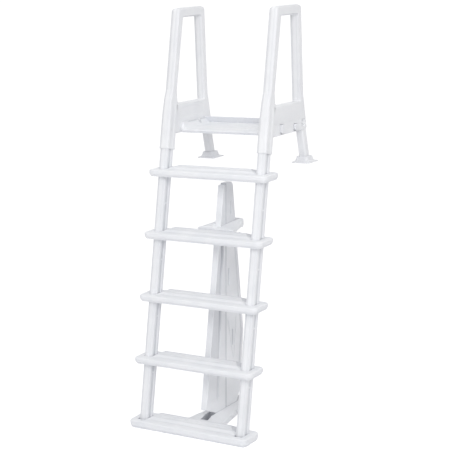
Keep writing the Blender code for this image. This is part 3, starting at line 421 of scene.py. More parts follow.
# %% [markdown]
# The treads are slabs with that relief on top and a shallow ribbed panel below, where the real moulding is
# stiffened. Their lower edge is cut off at a slant, which is the darker band along the foot of each face: a
# bulge near 1 gives that chamfer, and a fuller one rounds the upper edge. The bottom tread's sockets reach
# further to the front, so its gaps show.

# %% Treads
TREAD_HALF = 0.335
TREAD_NOSE, TREAD_TAIL = 0.074, 0.066  # in front of the posts' axis, and behind it
TREAD_EDGE, TREAD_ROUND = 0.009, 0.026
TREAD_CROWN, TREAD_SKIRT, TREAD_BULGES = 0.006, 0.014, (1.6, 1.05)
BOTTOM_GAP = 0.016
PANEL_HALVES, PANEL_CORNER, PANEL_DEPTH = (0.225, 0.050), 0.012, 0.004
DRAIN_X, DRAIN_HALF, DRAIN_DEPTH = 0.105, 0.0055, 0.012
face_half, face_middle = (TREAD_NOSE + TREAD_TAIL) / 2 - TREAD_EDGE, (TREAD_TAIL - TREAD_NOSE) / 2
face_round = TREAD_ROUND - TREAD_EDGE


def tread_half(y):
    """Half length of the face outline at y."""
    return rounded_half(y - face_middle, TREAD_HALF - TREAD_EDGE, face_half, face_round)


def ribs(x, pitch, half, reach=1.6):
    """1 on narrow ribs a pitch apart, one of them at x = 0, else 0."""
    return ease(reach - abs((x + pitch / 2) % pitch - pitch / 2) / half)


arcs = face_middle + rounded_rows(face_half, face_round, 9)
grooves = (GRIP_GROOVES[:, None] + np.linspace(-0.0036, 0.0036, 7)).ravel()
ramps = spaced((-0.044, 0.036, 61), (GRIP_FRONT, GRIP_FRONT + GRIP_SLOPE, 9), (0.052, 0.0565, 5))
socket_back = POST_HALF_DEPTH + SOCKET_GAP
socket_ends = np.array([-socket_back - BOTTOM_GAP, -socket_back, socket_back])
sockets = (socket_ends[:, None] + np.linspace(-0.0016, 0.0016, 5)).ravel()
tread_rows = np.unique(np.concatenate([arcs, grooves, ramps, sockets]).round(6))
tread_shares = both_ways(spaced(
    (0, 0.17, 12), (0.17, 0.190, 11), (0.190, 0.2515, 34), (0.2515, 0.3035, 36), (0.3035, 0.326, 7),
))
for number in range(1, 6):
    name = f"tread_{number}"
    low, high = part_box(name)
    surface = high.z - GRIP_RISE
    thick = surface - low.z
    front_gap = BOTTOM_GAP if number == 1 else 0.0

    def tread_top(x, y):
        """Standing surface less the sockets."""
        return grip(x, y) - pocket(x, y, 0, front_gap)

    def tread_bottom(x, y):
        """Flat underside with a shallow ribbed panel, the sockets and a drain hole."""
        panel = PANEL_DEPTH * ease(-box_distance(x, y, *PANEL_HALVES, PANEL_CORNER) / 0.004)
        drain = DRAIN_DEPTH * ease((DRAIN_HALF - np.hypot(x - DRAIN_X, y)) / 0.001)
        return -thick + panel * (1 - ribs(x, 0.075, 0.002, 1.5)) + drain + pocket(x, y, -thick * SLOPE, 0)

    def socket_and_grip_painted_shade(x, y):
        """Painted shade of the relief, darkest in the sockets' gaps."""
        return np.maximum(tread_painted_shade(x, y), pocket(x, y, 0, front_gap) / POCKET)

    grids = slab(tread_rows, tread_shares, lambda y: -tread_half(y), tread_half, tread_top, tread_bottom,
                 TREAD_EDGE, TREAD_CROWN, TREAD_SKIRT, steps=7, bulges=TREAD_BULGES)
    mould(name + "_blown", placed(grids, (0, low.y + TREAD_NOSE, surface), X, Y, Z), tread_plastic,
          "lower_ladder", [name], painted_shade_amount=over_faces(grids, socket_and_grip_painted_shade))

# %% [markdown]
# Posts, sleeves, legs and the platform's lip are bars: one outline carried along an axis. A bevel modifier
# could round their corners, but the corners here need different radii, so each corner of the outline is
# replaced with an arc that touches both neighbours. The outline may change from station to station.

# %% Bars
def corner_arcs(corners, radii, steps):
    """An arc at each corner of a closed outline: it starts and ends r / tan(angle / 2) from the corner, and
    its centre lies r / sin(angle / 2) along the line that halves the angle. Returns (corner, step, 2)."""
    points = np.asarray(corners, float)
    radii = np.maximum(np.asarray(radii, float), 1e-7)[:, None]
    back = np.roll(points, 1, 0) - points
    ahead = np.roll(points, -1, 0) - points
    back /= np.linalg.norm(back, axis=1, keepdims=True)
    ahead /= np.linalg.norm(ahead, axis=1, keepdims=True)
    half = np.arccos(np.clip((back * ahead).sum(1, keepdims=True), -1, 1)) / 2
    bisector = back + ahead
    bisector /= np.linalg.norm(bisector, axis=1, keepdims=True)
    centre = points + bisector * radii / np.sin(half)
    first = points + back * radii / np.tan(half) - centre
    last = points + ahead * radii / np.tan(half) - centre
    start = np.arctan2(first[:, 1], first[:, 0])
    sweep = np.arctan2(last[:, 1], last[:, 0]) - start
    sweep = (sweep + np.pi) % (2 * np.pi) - np.pi
    angle = start[:, None] + sweep[:, None] * np.linspace(0, 1, steps)
    return centre[:, None] + radii[:, None] * np.stack([np.cos(angle), np.sin(angle)], -1)


def carried(outlines, stations):
    """The (u, v) of one outline, or of one outline for each station, carried to the stations along w."""
    stations = np.asarray(stations)
    rings = np.broadcast_to(outlines, (len(stations), *np.shape(outlines)[-2:]))
    return np.concatenate([rings, np.broadcast_to(stations[:, None, None], (*rings.shape[:2], 1))], -1)


print("square with arcs", corner_arcs([(1, -1), (1, 1), (-1, 1), (-1, -1)], [0.5] * 4, 6).shape)

# %% [markdown]
# A post is a hollow bar with low bevels down its front and a flute down both sides and the back. The flutes
# stiffen it, and the light makes them the dark lines on its sides. They could be cut out of a plain bar, but
# they are part of the outline here, so that they run clean from end to end. Shade is painted into the flutes
# and onto the bevels, which keeps those from shining.

# %% Fluted posts
ALONG = np.array([0, math.sin(LEAN), math.cos(LEAN)])
ASIDE = np.array([0, math.cos(LEAN), -math.sin(LEAN)])
FLOOR_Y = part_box("tread_1")[0].y + TREAD_NOSE - (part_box("tread_1")[1].z - GRIP_RISE) * SLOPE
SIDES = (("left", -1), ("right", 1))
FLUTE_HALF, FLUTE_DEPTH = 0.011, 0.004
FRONT_BEVEL = 0.58
CORNER_STEPS = 6
# painted shade in the flutes
FLUTE_PAINTED_SHADE = 0.35
BEVEL_PAINTED_SHADE = 0.20  # painted shade on the front bevels
POST_ROWS = 40
POST_SPARE = 0.006
TOP_SPARE = 0.016  # keeps a post's top below the end of the sleeve's bore when the handrails are lowered


def fluted(w, d, c, f, g):
    """A box of half sizes w and d, with a flute of half width f and depth g in three sides. The front
    corners' cuts are c deep and FRONT_BEVEL of w wide, so that they lie nearly flat; the rear ones are half
    of c each way."""
    k = c / 2
    half = [(w - FRONT_BEVEL * w, -d), (w, c - d), (w, -f), (w - g, g - f), (w - g, f - g), (w, f),
            (w, d - k), (w - k, d), (f, d), (f - g, d - g)]
    radii = [c, c, *[0.3 * g] * 4, k, k, *[0.3 * g] * 2]
    corners = half + [(-x, y) for x, y in reversed(half)]
    return corner_arcs(corners, radii + radii[::-1], CORNER_STEPS).reshape(-1, 2)


def flute_painted_shade(u, v):
    """Painted shade in the flutes of the post's two sides."""
    return FLUTE_PAINTED_SHADE * ease((POST_HALF_WIDTH - 0.001 - abs(u)) / 0.002) * (abs(v) < FLUTE_HALF)


post_outline = fluted(POST_HALF_WIDTH, POST_HALF_DEPTH, 0.0045, FLUTE_HALF, FLUTE_DEPTH)
# painted shade on the front bevels of any fluted outline: it rises round one corner and falls round the next
bevel_painted_shade = np.zeros((len(post_outline) // CORNER_STEPS, CORNER_STEPS))
bevel_painted_shade[[0, -2]] = BEVEL_PAINTED_SHADE * np.linspace(0, 1, CORNER_STEPS)
bevel_painted_shade[[1, -1]] = BEVEL_PAINTED_SHADE * np.linspace(1, 0, CORNER_STEPS)
bevel_painted_shade = bevel_painted_shade.ravel()
for side, sign in SIDES:
    low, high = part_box(side + "_upright")
    foot = low.z / math.cos(LEAN) + POST_SPARE
    top = (high.z - POST_SPARE) / math.cos(LEAN) - TOP_SPARE
    post = [(carried(post_outline, np.linspace(foot, top, POST_ROWS)), True)]
    post_painted_shade = over_faces(post, flute_painted_shade) + np.tile(bevel_painted_shade, POST_ROWS)
    mould(side + "_post", placed(post, (sign * POST_X, FLOOR_Y, 0), X, ASIDE, ALONG), post_plastic,
          "lower_ladder", [side + "_upright"], caps=True, painted_shade_amount=post_painted_shade)

# %% [markdown]
# Each handrail is one closed moulding: front post, grip bar, rear post and web, with an opening for the
# hand. It could be cut from a plate, but then its edges would be hard, so it is drawn as a ring between two
# closed curves, the outer edge and the opening's edge. They run side by side with matching points, and this
# cell finds those points.

# %% Handrail outlines
RAIL_HALF = 0.021
REAR_DEPTH = 0.041
REAR_AT_WEB, REAR_AT_TOP = 0.2955, 0.1995  # how far the rear post's middle lies behind the posts' axis
WEB_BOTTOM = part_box("tread_5")[1].z - GRIP_RISE + 0.161
WEB_TOP = WEB_BOTTOM + 0.145
WEB_FLARE = 0.025
BAR_SPARE = 0.006  # the grip bar is thicker than the posts by this
OPENING_BACK = 0.007  # the opening's front edge lies further back at its top
RAIL_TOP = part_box("left_handrail")[1].z
BORE_TOP = 1.557
SLANT, BEHIND_BORE = np.array([RAIL_HALF, 0.0312]) / math.cos(LEAN)
OUTER_RADII = [0.0, 0.020, 0.020, 0.020, 0.013, 0.0, 0.0]
OPENING_RADII = [0.012, 0.008, 0.008, 0.004]
ARC_STEPS, LOW_REAR_STEPS, LOW_FRONT_STEPS = 14, 62, 56


def axis_y(height):
    """The posts' axis at a height."""
    return FLOOR_Y + height * SLOPE


def rear_y(height):
    """Middle of the rear post: a straight line from the web's top edge to the top of the rail."""
    share = (height - WEB_TOP) / (RAIL_TOP - RAIL_HALF - WEB_TOP)
    foot = axis_y(WEB_TOP) + REAR_AT_WEB
    return foot + (axis_y(RAIL_TOP - RAIL_HALF) + REAR_AT_TOP - foot) * share


def run(start, end, count):
    """Points of a straight run between two arcs, without its ends."""
    return start + (end - start) * np.linspace(0, 1, count + 2)[1:-1, None]


rear_edge = REAR_DEPTH - RAIL_HALF
inner_top = RAIL_TOP - 2 * RAIL_HALF - BAR_SPARE
outer_corners = [
    (axis_y(BORE_TOP) - SLANT, BORE_TOP), (axis_y(RAIL_TOP) - SLANT, RAIL_TOP),
    (rear_y(RAIL_TOP) + rear_edge, RAIL_TOP), (rear_y(WEB_TOP) + rear_edge, WEB_TOP + RAIL_HALF),
    (rear_y(WEB_TOP) + rear_edge + WEB_FLARE, WEB_BOTTOM), (axis_y(WEB_BOTTOM) + BEHIND_BORE, WEB_BOTTOM),
    (axis_y(BORE_TOP) + BEHIND_BORE, BORE_TOP),
]
opening_corners = [
    (axis_y(WEB_TOP) + SLANT, WEB_TOP), (axis_y(inner_top) + SLANT + OPENING_BACK, inner_top),
    (rear_y(inner_top) - RAIL_HALF, inner_top), (rear_y(WEB_TOP) - RAIL_HALF, WEB_TOP),
]
front, crown_front, crown_rear, bend, heel, toe, step = corner_arcs(outer_corners, OUTER_RADII, ARC_STEPS)
outer_loop = np.concatenate([
    front[:1], run(front[0], crown_front[0], 40), crown_front, run(crown_front[-1], crown_rear[0], 16),
    crown_rear, run(crown_rear[-1], bend[0], 40), bend, run(bend[-1], heel[0], 34), heel,
    run(heel[-1], toe[0], 110), toe[:1], run(toe[0], step[0], 40), step[:1], run(step[0], front[0], 14),
])
high_front, high_rear = corner_arcs(opening_corners, OPENING_RADII, ARC_STEPS)[1:3]
low_rear = corner_arcs(opening_corners, OPENING_RADII, LOW_REAR_STEPS)[3]
low_front = corner_arcs(opening_corners, OPENING_RADII, LOW_FRONT_STEPS)[0]
opening_loop = np.concatenate([
    low_front[-1:], run(low_front[-1], high_front[0], 40), high_front, run(high_front[-1], high_rear[0], 16),
    high_rear, run(high_rear[-1], low_rear[0], 40), low_rear, run(low_rear[-1], low_front[0], 110), low_front,
])
print("outline points", len(outer_loop), len(opening_loop))

# %% [markdown]
# The web below the opening is not plain. Outside it has a low strip along its foot, slots through which the
# platform's tongues show, and a recess for the leg's bolt; inside it has a shallow panel. These could be cut
# with other solids, but a relief over the web's face keeps the ring one skin and its edges soft.

# %% Web relief
PLATFORM_Y = axis_y(WEB_BOTTOM) + 0.078
TONGUE_BEHIND, TONGUE_HEIGHTS = np.array([0.035, 0.168]), np.array([0.044, 0.032])
TONGUE_WIDTH, TONGUE_UP = 0.032, 0.007
tongue_y = PLATFORM_Y + TONGUE_BEHIND + TONGUE_WIDTH / 2
tongue_z = WEB_BOTTOM + TONGUE_UP + TONGUE_HEIGHTS / 2
STRIP_TOP, STRIP_BACK, STRIP_FRONT = 1.463, 0.285, 0.040
SLOT_HALF, SLOT_AHEAD, SLOT_SPARE = 0.0215, 0.003, 0.0025
LEG_BOLT = (0.3155, 1.4370)
RECESS_AHEAD, RECESS_HALF = 0.006, (0.0165, 0.018)
WEB_CORNER, WEB_WALL = 0.010, 0.0015
WEB_PANEL, WEB_PANEL_HALVES = (0.165, 1.500), (0.105, 0.026)
STRIP_DEPTH, SLOT_DEPTH, RECESS_DEPTH, WEB_PANEL_DEPTH = 0.0025, 0.0120, 0.0105, 0.0018


def web_relief(y, z, outer_side):
    """How far the web's face is sunk at (y, z): outside, a low strip, the tongues' slots and the bolt's
    recess; inside, a panel."""
    if not outer_side:
        panel = box_distance(y - WEB_PANEL[0], z - WEB_PANEL[1], *WEB_PANEL_HALVES, 0.008)
        return WEB_PANEL_DEPTH * ease(-panel / 0.003)
    strip = ease((STRIP_TOP - z) / 0.0025) * ease((STRIP_BACK - y) / 0.003)
    strip = strip * ease((y - axis_y(z) - STRIP_FRONT) / 0.003)
    slots = [box_distance(y - tongue_y[k] + SLOT_AHEAD, z - tongue_z[k], SLOT_HALF,
                          TONGUE_HEIGHTS[k] / 2 + SLOT_SPARE, WEB_CORNER) for k in (0, 1)]
    slot = ease(-np.minimum(*slots) / WEB_WALL)
    recess = box_distance(y - LEG_BOLT[0] + RECESS_AHEAD, z - LEG_BOLT[1], *RECESS_HALF, WEB_CORNER)
    recess = ease(-recess / WEB_WALL)
    return np.maximum(np.maximum(STRIP_DEPTH * strip, SLOT_DEPTH * slot), RECESS_DEPTH * recess)


print("tongues at", tongue_y.round(4), tongue_z.round(4))

# %% [markdown]
# The ring's section between the two curves has two flat faces and four bevelled corners. A bevel modifier
# would give every corner the same width, but the posts' bevels are wide and low and the web's are narrow, so
# the bevels are rows of the ring, and their width changes along the curve.

# %% Handrails
RAIL_WIDE = 0.0235
RAIL_EASE = 0.006
OUTER_EASE, OUTER_BEVEL = 0.008, 0.018
OPENING_EASE, OPENING_BEVEL = 0.007, 0.016
BEVEL_BULGE = 1.4
IN_SLEEVE = 56  # the last points of the outer loop are hidden in the sleeve
POSTS_TO_WEB = [120, 140]  # points between which the posts' wide bevels shrink to the web's narrow ones
FACE_ROWS, BEVEL_ROWS = 46, 6


def inset(loop, amount):
    """Each point moved to the right of the way the loop runs, by one amount or by an amount a point."""
    ahead = np.roll(loop, -1, 0) - np.roll(loop, 1, 0)
    ahead /= np.linalg.norm(ahead, axis=1, keepdims=True)
    return loop + np.reshape(amount, (-1, 1)) * np.stack([ahead[:, 1], -ahead[:, 0]], -1)


def handrail_ring(outer_sign):
    """The ring's section in order: face, opening's edge, other face and outer edge. A face point is
    (1 - s) * outer + s * inner, both drawn in by the easing, at half the width less the relief. An edge
    point is moved back out by easing * sin(a)^(2/bulge), and from the face by bevel times
    1 - cos(a)^(2/bulge)."""
    order = np.arange(len(outer_loop))
    outer_ease = np.interp(order, POSTS_TO_WEB, [OUTER_EASE, RAIL_EASE])
    outer_bevel = np.interp(order, POSTS_TO_WEB, [OUTER_BEVEL, RAIL_EASE])
    outer_ease[-IN_SLEEVE:] = outer_bevel[-IN_SLEEVE:] = 0.001
    inner_ease = np.full(len(outer_loop), -OPENING_EASE)
    share = np.linspace(0, 1, FACE_ROWS)[:, None, None]
    outer_face, inner_face = inset(outer_loop, outer_ease), inset(opening_loop, inner_ease)
    flat = outer_face * (1 - share) + inner_face * share
    turn = np.linspace(0, np.pi / 2, BEVEL_ROWS + 1)[1:, None]
    out, fall = np.sin(turn) ** (2 / BEVEL_BULGE), 1 - np.cos(turn) ** (2 / BEVEL_BULGE)

    def face(sign):
        height = sign * (RAIL_WIDE - web_relief(flat[..., 0], flat[..., 1], sign == outer_sign))
        return np.concatenate([flat, height[..., None]], -1)

    def rim(loop, easing, bevel, sign):
        moved = np.stack([inset(loop, -easing * step_out) for step_out in out])
        height = np.broadcast_to(sign * (RAIL_WIDE - fall * bevel), moved.shape[:2])
        return np.concatenate([moved, height[..., None]], -1)

    inner_near, inner_far = (rim(inner_face, inner_ease, OPENING_BEVEL, sign) for sign in (1, -1))
    outer_near, outer_far = (rim(outer_face, outer_ease, outer_bevel, sign) for sign in (1, -1))
    return np.concatenate([face(1), inner_near, inner_far[::-1], face(-1)[::-1], outer_far,
                           outer_near[::-1], face(1)[:1]])


def handrail_painted_shade():
    """Painted shade on the bevels along the posts, one value for each point of the ring: 0 on the faces and
    at the bevels' far edges, full on the bevels' other rows."""
    flat, bevel = np.zeros(FACE_ROWS), np.ones(BEVEL_ROWS)
    bevel[-1] = 0
    section = np.concatenate([flat, bevel, bevel[::-1], flat, bevel, bevel[::-1], [0]])
    along = np.interp(np.arange(len(outer_loop)), POSTS_TO_WEB, [BEVEL_PAINTED_SHADE, 0])
    return np.outer(section, along).ravel()


for side, sign in SIDES:
    ring = [(handrail_ring(sign), True)]
    mould(side + "_rail_loop", placed(ring, (sign * POST_X, 0, 0), Y, Z, X), rail_plastic, "upper_frame",
          [side + "_handrail"], painted_shade_amount=handrail_painted_shade())

# %% [markdown]
# Below its shoulder each handrail's front post swells into a sleeve that slides over the ladder's post. It
# is the same bevelled and fluted bar, larger, and its rings shrink to the rail's own section at the
# shoulder. A solid bar would hide the joint, so at the lower end, where a bead stiffens the mouth, the
# surface turns in and climbs the bore: the gap round the post is real and reads as a dark line.

# %% Sleeves
SLEEVE_FOOT = 1.331 / math.cos(LEAN)
SLEEVE_HALF_WIDTH, SLEEVE_HALF_DEPTH = 0.0265, 0.033
SHOULDER_FOOT, SHOULDER, SHOULDER_RINGS = 0.228, 0.105, 13
SLEEVE_STATIONS = [0.165, 0.0100, 0.0086, 0.0070, 0.0014, 0.0, 0.0, 0.002, 0.222]  # down, then up the bore
slim = fluted(0.0206, 0.0160, 0.0040, FLUTE_HALF, 0.0002)
neck = fluted(0.0237, 0.0302, 0.0060, FLUTE_HALF, 0.0004)
wide = fluted(SLEEVE_HALF_WIDTH, SLEEVE_HALF_DEPTH, 0.0070, FLUTE_HALF, 0.0016)
mouth = fluted(0.0272, 0.0337, 0.0072, FLUTE_HALF, 0.0002)
bore = fluted(0.0226, 0.0291, 0.0045, FLUTE_HALF, 0.0002)
upward_share = np.linspace(1, 0, SHOULDER_RINGS)
slimming = ease(upward_share)[:, None, None]
outlines = list(slim * slimming + neck * (1 - slimming))
outlines += [wide, wide, wide + (mouth - wide) * 0.8, mouth, mouth, mouth * 0.985, bore * 1.01, bore, bore]
stations = SLEEVE_FOOT + np.concatenate([SHOULDER_FOOT + SHOULDER * upward_share, SLEEVE_STATIONS])
for side, sign in SIDES:
    # the sleeve's front bevels carry the posts' painted shade
    sleeve = [(carried(outlines, stations), True)]
    mould(side + "_sleeve", placed(sleeve, (sign * POST_X, FLOOR_Y, 0), X, ASIDE, ALONG), rail_plastic,
          "upper_frame", caps=True, painted_shade_amount=np.tile(bevel_painted_shade, len(stations)))

# %% [markdown]
# Round things, such as the boss of the lock screw, the plugs in the flutes and the caps over the bolts, are
# turned: a profile of radius and height swept round an axis. A cylinder with a bevel could stand for each,
# but a profile gives every step, dome and rim its own radius.

# %% Turned pieces
TURNED_STEPS = 28
LOCK_UP = 0.033


def turned(profile):
    """Point: (r cos a, r sin a, h) for each (r, h) of the profile."""
    r, h = np.asarray(profile, float).T[..., None]
    angle = np.arange(TURNED_STEPS) * 2 * np.pi / TURNED_STEPS
    return np.stack(np.broadcast_arrays(r * np.cos(angle), r * np.sin(angle), h), -1)


def facing(direction):
    """Two axes across a direction and the direction itself."""
    w_axis = np.asarray(direction, float) / np.linalg.norm(direction)
    helper = X if abs(w_axis[0]) < 0.9 else Y
    u_axis = np.cross(helper, w_axis)
    u_axis /= np.linalg.norm(u_axis)
    return u_axis, np.cross(w_axis, u_axis), w_axis


boss_profile = [
    (0.0128, -0.003), (0.0128, 0.0), (0.0116, 0.0012), (0.0108, 0.0058), (0.0100, 0.0069), (0.0052, 0.0070),
    (0.0048, 0.0060),
]
for side, sign in SIDES:
    seat = np.array([sign * POST_X, FLOOR_Y, 0]) + ALONG * (SLEEVE_FOOT + LOCK_UP) + ASIDE * SLEEVE_HALF_DEPTH
    boss = placed([(turned(boss_profile), True)], seat, *facing(ASIDE))
    mould(side + "_lock_boss", boss, rail_plastic, "upper_frame", caps=True)

# %% [markdown]
# The platform is a moulded shelf between the webs. Its front edge is thin and round, its top rises slightly
# to the back and carries four grooves. At each end the top sweeps up into a lip against the web, with a
# dimple for the screw that holds it. Blocks could stand for the lips, but the real ones grow out of the
# shelf in one sweep, so all of this is in the height of the shelf's top.

# %% Platform shelf
PLATFORM_DEPTH = 0.268
PLATFORM_END = POST_X - RAIL_WIDE - 0.0004
PLATFORM_EDGE, PLATFORM_CROWN, PLATFORM_SKIRT, PLATFORM_BULGES = 0.008, 0.004, 0.012, (1.6, 1.1)
LIP_FOOT = PLATFORM_DEPTH - 0.054
SHELF_FRONT, SHELF_RISE, END_LIP = 0.017, 0.010, 0.0515
SHELF_GROOVES, SHELF_GROOVE_DEPTH = LIP_FOOT * (np.arange(4) + 0.6) / 4, 0.004
SCREW_BEHIND, DIMPLE_DEPTH = 0.157, 0.0035
SWEEP_POWER = 2.2
SHELF_HOLLOW = 0.009
# painted shade in the grooves, round the screws and along the end lips
SHELF_PAINTED_SHADE = 0.5


def level_at(height):
    """A flat face at a height, or a straight side at a distance."""
    return lambda *place: 0 * place[0] + height


def from_end(x):
    """Distance from the nearer end of the platform."""
    return PLATFORM_END - abs(x)


def shelf_groove(x, y):
    """1 in a groove, which stops short of the end lips, else 0; y is measured from the front edge."""
    near = abs(y[..., None] - SHELF_GROOVES).min(-1)
    return ease((from_end(x) - 0.036) / 0.004) * ease(1.7 - near / 0.0026)


def shelf_top(x, y):
    """Gentle rise, grooves and end lips. A lip's height grows as a power of the way along its sweep."""
    rise = SHELF_FRONT + SHELF_RISE * np.clip(y / LIP_FOOT, 0, 1) - SHELF_GROOVE_DEPTH * shelf_groove(x, y)
    sweep = np.clip((0.034 - from_end(x)) / 0.026, 0, 1)
    end = ease((y - 0.003) / 0.016) * sweep ** SWEEP_POWER
    away = np.hypot((0.004 - from_end(x)) * 1.2, y - SCREW_BEHIND)
    return rise + (END_LIP - rise) * end - DIMPLE_DEPTH * ease(1.4 - away / 0.006) * end


def shelf_painted_shade(x, y):
    """Painted shade in the grooves, round the screws and along the end lips' tops against the webs."""
    ring = ease(1.6 - np.hypot(0.012 - from_end(x), y - SCREW_BEHIND) / 0.009)
    lip_top = ease((0.0115 - from_end(x)) / 0.002) * ease((y - 0.045) / 0.02)
    return SHELF_PAINTED_SHADE * np.maximum(shelf_groove(x, y), np.maximum(ring, lip_top))


def shelf_bottom(x, y):
    """A hollow underside with cross ribs."""
    half = PLATFORM_DEPTH / 2
    cell = ease(-box_distance(x, y - half, PLATFORM_END - 0.010, half - 0.012, 0.01) / 0.003)
    return SHELF_HOLLOW * cell * (1 - ribs(x, 0.06, 0.0016))


shelf_rows = np.unique(np.concatenate([
    (SHELF_GROOVES[:, None] + np.linspace(-0.0045, 0.0045, 9)).ravel(),
    spaced((PLATFORM_EDGE, PLATFORM_DEPTH - PLATFORM_EDGE, 60), (PLATFORM_EDGE, 0.022, 10)),
    SCREW_BEHIND + np.linspace(-0.009, 0.009, 11),
]).round(6))
shelf_half = PLATFORM_END - PLATFORM_EDGE
shelf_shares = both_ways(spaced((0, 0.215, 38), (0.215, shelf_half, 26)))
grids = slab(shelf_rows, shelf_shares, level_at(-shelf_half), level_at(shelf_half), shelf_top, shelf_bottom,
             PLATFORM_EDGE, PLATFORM_CROWN, PLATFORM_SKIRT, bulges=PLATFORM_BULGES)
mould("platform_shelf", placed(grids, (0, PLATFORM_Y, WEB_BOTTOM), X, Y, Z), deck_plastic, "upper_frame",
      ["platform"], painted_shade_amount=over_faces(grids, shelf_painted_shade))

# %% [markdown]
# A tall lip closes the platform's back and leans forward over the shelf, which keeps its face in shade. A
# height over the shelf can't overhang, so the lip is a bar of its own, one profile carried across. Its
# leaning face also carries painted shade.

# %% Platform's back lip
LIP_PAINTED_SHADE = 0.26
lip_corners = [(0.231, 0.020), (0.2125, 0.0575), (0.2500, 0.0490), (0.2660, 0.008)]
lip_outline = corner_arcs(lip_corners, [0.001, 0.003, 0.008, 0.002], 8).reshape(-1, 2)


def lip_painted_shade(y, z):
    """Painted shade on the leaning face, up to just below its top."""
    return LIP_PAINTED_SHADE * ease((0.234 - y) / 0.006) * ease((0.0565 - z) / 0.002)


lip = [(carried(lip_outline, np.linspace(-PLATFORM_END, PLATFORM_END, 40)), True)]
mould("platform_back_lip", placed(lip, (0, PLATFORM_Y, WEB_BOTTOM), Y, Z, X), deck_plastic, "upper_frame",
      caps=True, painted_shade_amount=over_faces(lip, lip_painted_shade))

# %% [markdown]
# Two tongues at each end of the platform pass through slots in the web and show on its outside as rounded
# lugs. A block with a bevel has square corners with cut edges, while the real lugs have round corners and
# round edges, so each is a small slab that stands on edge.

# %% Platform tongues
LUG_EDGE, LUG_CORNER = 0.003, 0.009
LUG_OUT, LUG_IN = 0.0050, 0.030
for side, sign in SIDES:
    for k in (0, 1):
        half, tall = TONGUE_WIDTH / 2 - LUG_EDGE, TONGUE_HEIGHTS[k] / 2 - LUG_EDGE
        between = np.linspace(LUG_CORNER - tall, tall - LUG_CORNER, 5)

        def lug_half(v):
            """Half width of the lug's outline at v."""
            return rounded_half(v, half, tall, LUG_CORNER)

        grids = slab(rounded_rows(tall, LUG_CORNER, 7, between), np.linspace(0, 1, 9), lambda v: -lug_half(v),
                     lug_half, level_at(LUG_OUT), level_at(-LUG_IN), LUG_EDGE, LUG_EDGE, LUG_EDGE)
        middle = (sign * (POST_X + RAIL_WIDE), tongue_y[k], tongue_z[k])
        mould(f"{side}_platform_tongue_{k + 1}", placed(grids, middle, Y, Z, sign * X), deck_plastic,
              "upper_frame")

# %% [markdown]
# A leg carries the handrail's rear end down to the deck. It is a square bar with cut corners, and it leans.
# Its foot stands in a flange: a square plate with a collar that flares out to it. A cone on a plate could
# stand for that, but the collar is square, so the flange is a slab whose height is told from how far a point
# lies outside the leg.

# %% Deck legs and flanges
LEG_LEAN = math.radians(10.7)
LEG_ALONG = np.array([0, -math.sin(LEG_LEAN), math.cos(LEG_LEAN)])
LEG_ASIDE = np.array([0, math.cos(LEG_LEAN), math.sin(LEG_LEAN)])
LEG_HALF, LEG_CUT, LEG_ROUND = 0.0205, 0.006, 0.004
LEG_FOOT, LEG_INSIDE = 0.014, 0.013  # where it starts above the deck, and how far it enters the web
FLANGE_HALF, FLANGE_EDGE, FLANGE_CORNER = 0.050, 0.0015, 0.005
FLANGE_CROWN, FLANGE_SKIRT = 0.0016, 0.0008
COLLAR_OUT = [0.0, 0.0015, 0.0080, 0.0095, 0.0200]  # distances outside the collar's mouth
COLLAR_HEIGHT = [0.0320, 0.0305, 0.0115, 0.0100, 0.0055]
WELL_DEPTH = 0.012
HOLES, HOLE_DEPTH = 0.0355, 0.0028
flange_low, flange_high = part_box("right_deck_flange")
DECK, FLANGE_Y = flange_low.z, (flange_low.y + flange_high.y) / 2
plate_half, plate_round = FLANGE_HALF - FLANGE_EDGE, FLANGE_CORNER - FLANGE_EDGE


def flange_top(x, y):
    """Height from the distance outside the collar's square mouth: a steep collar, then a brim that falls."""
    outside = box_distance(x, y + 0.003, 0.0295, 0.0295, 0.009)
    well = WELL_DEPTH * ease(-box_distance(x, y + 0.0060, 0.0215, 0.0218, 0.007) / 0.0012)
    holes = HOLE_DEPTH * ease(1.5 - np.hypot(abs(x) - HOLES, abs(y) - HOLES) / 0.0032)
    return np.interp(outside, COLLAR_OUT, COLLAR_HEIGHT) - well - holes


def flange_half(v):
    """Half width of the face outline at v."""
    return rounded_half(v, plate_half, plate_half, plate_round)


a, b = LEG_HALF, LEG_HALF - LEG_CUT
leg_corners = [(b, -a), (a, -b), (a, b), (b, a), (-b, a), (-a, b), (-a, -b), (-b, -a)]
leg_outline = corner_arcs(leg_corners, [LEG_ROUND] * 8, CORNER_STEPS).reshape(-1, 2)
leg_top = (WEB_BOTTOM - DECK) / math.cos(LEG_LEAN) + LEG_INSIDE
straight = np.linspace(plate_round - plate_half, plate_half - plate_round, 72)
flange_rows = rounded_rows(plate_half, plate_round, 8, straight)
for side, sign in SIDES:
    deck_point = (sign * POST_X, FLANGE_Y, DECK)
    leg = [(carried(leg_outline, np.linspace(LEG_FOOT, leg_top, 24)), True)]
    mould(side + "_leg_bar", placed(leg, deck_point, X, LEG_ASIDE, LEG_ALONG), rail_plastic, "upper_frame",
          [side + "_deck_leg"], caps=True)
    grids = slab(flange_rows, np.linspace(0, 1, 84), lambda v: -flange_half(v), flange_half, flange_top,
                 level_at(0), FLANGE_EDGE, FLANGE_CROWN, FLANGE_SKIRT)
    mould(side + "_flange_plate", placed(grids, deck_point, X, Y, Z), flange_plastic, "upper_frame",
          [side + "_deck_flange"])

# %% [markdown]
# Two boards on edge stand behind the treads, so that nobody can swim through. They meet at a seam that leans
# less than the posts. A plate cut to shape would do for a flat board, but these have hollows in both faces,
# so each is a slab that stands on edge: a row runs across the board at each height, from the line of its
# front edge to the line of its back one. This cell holds those lines.

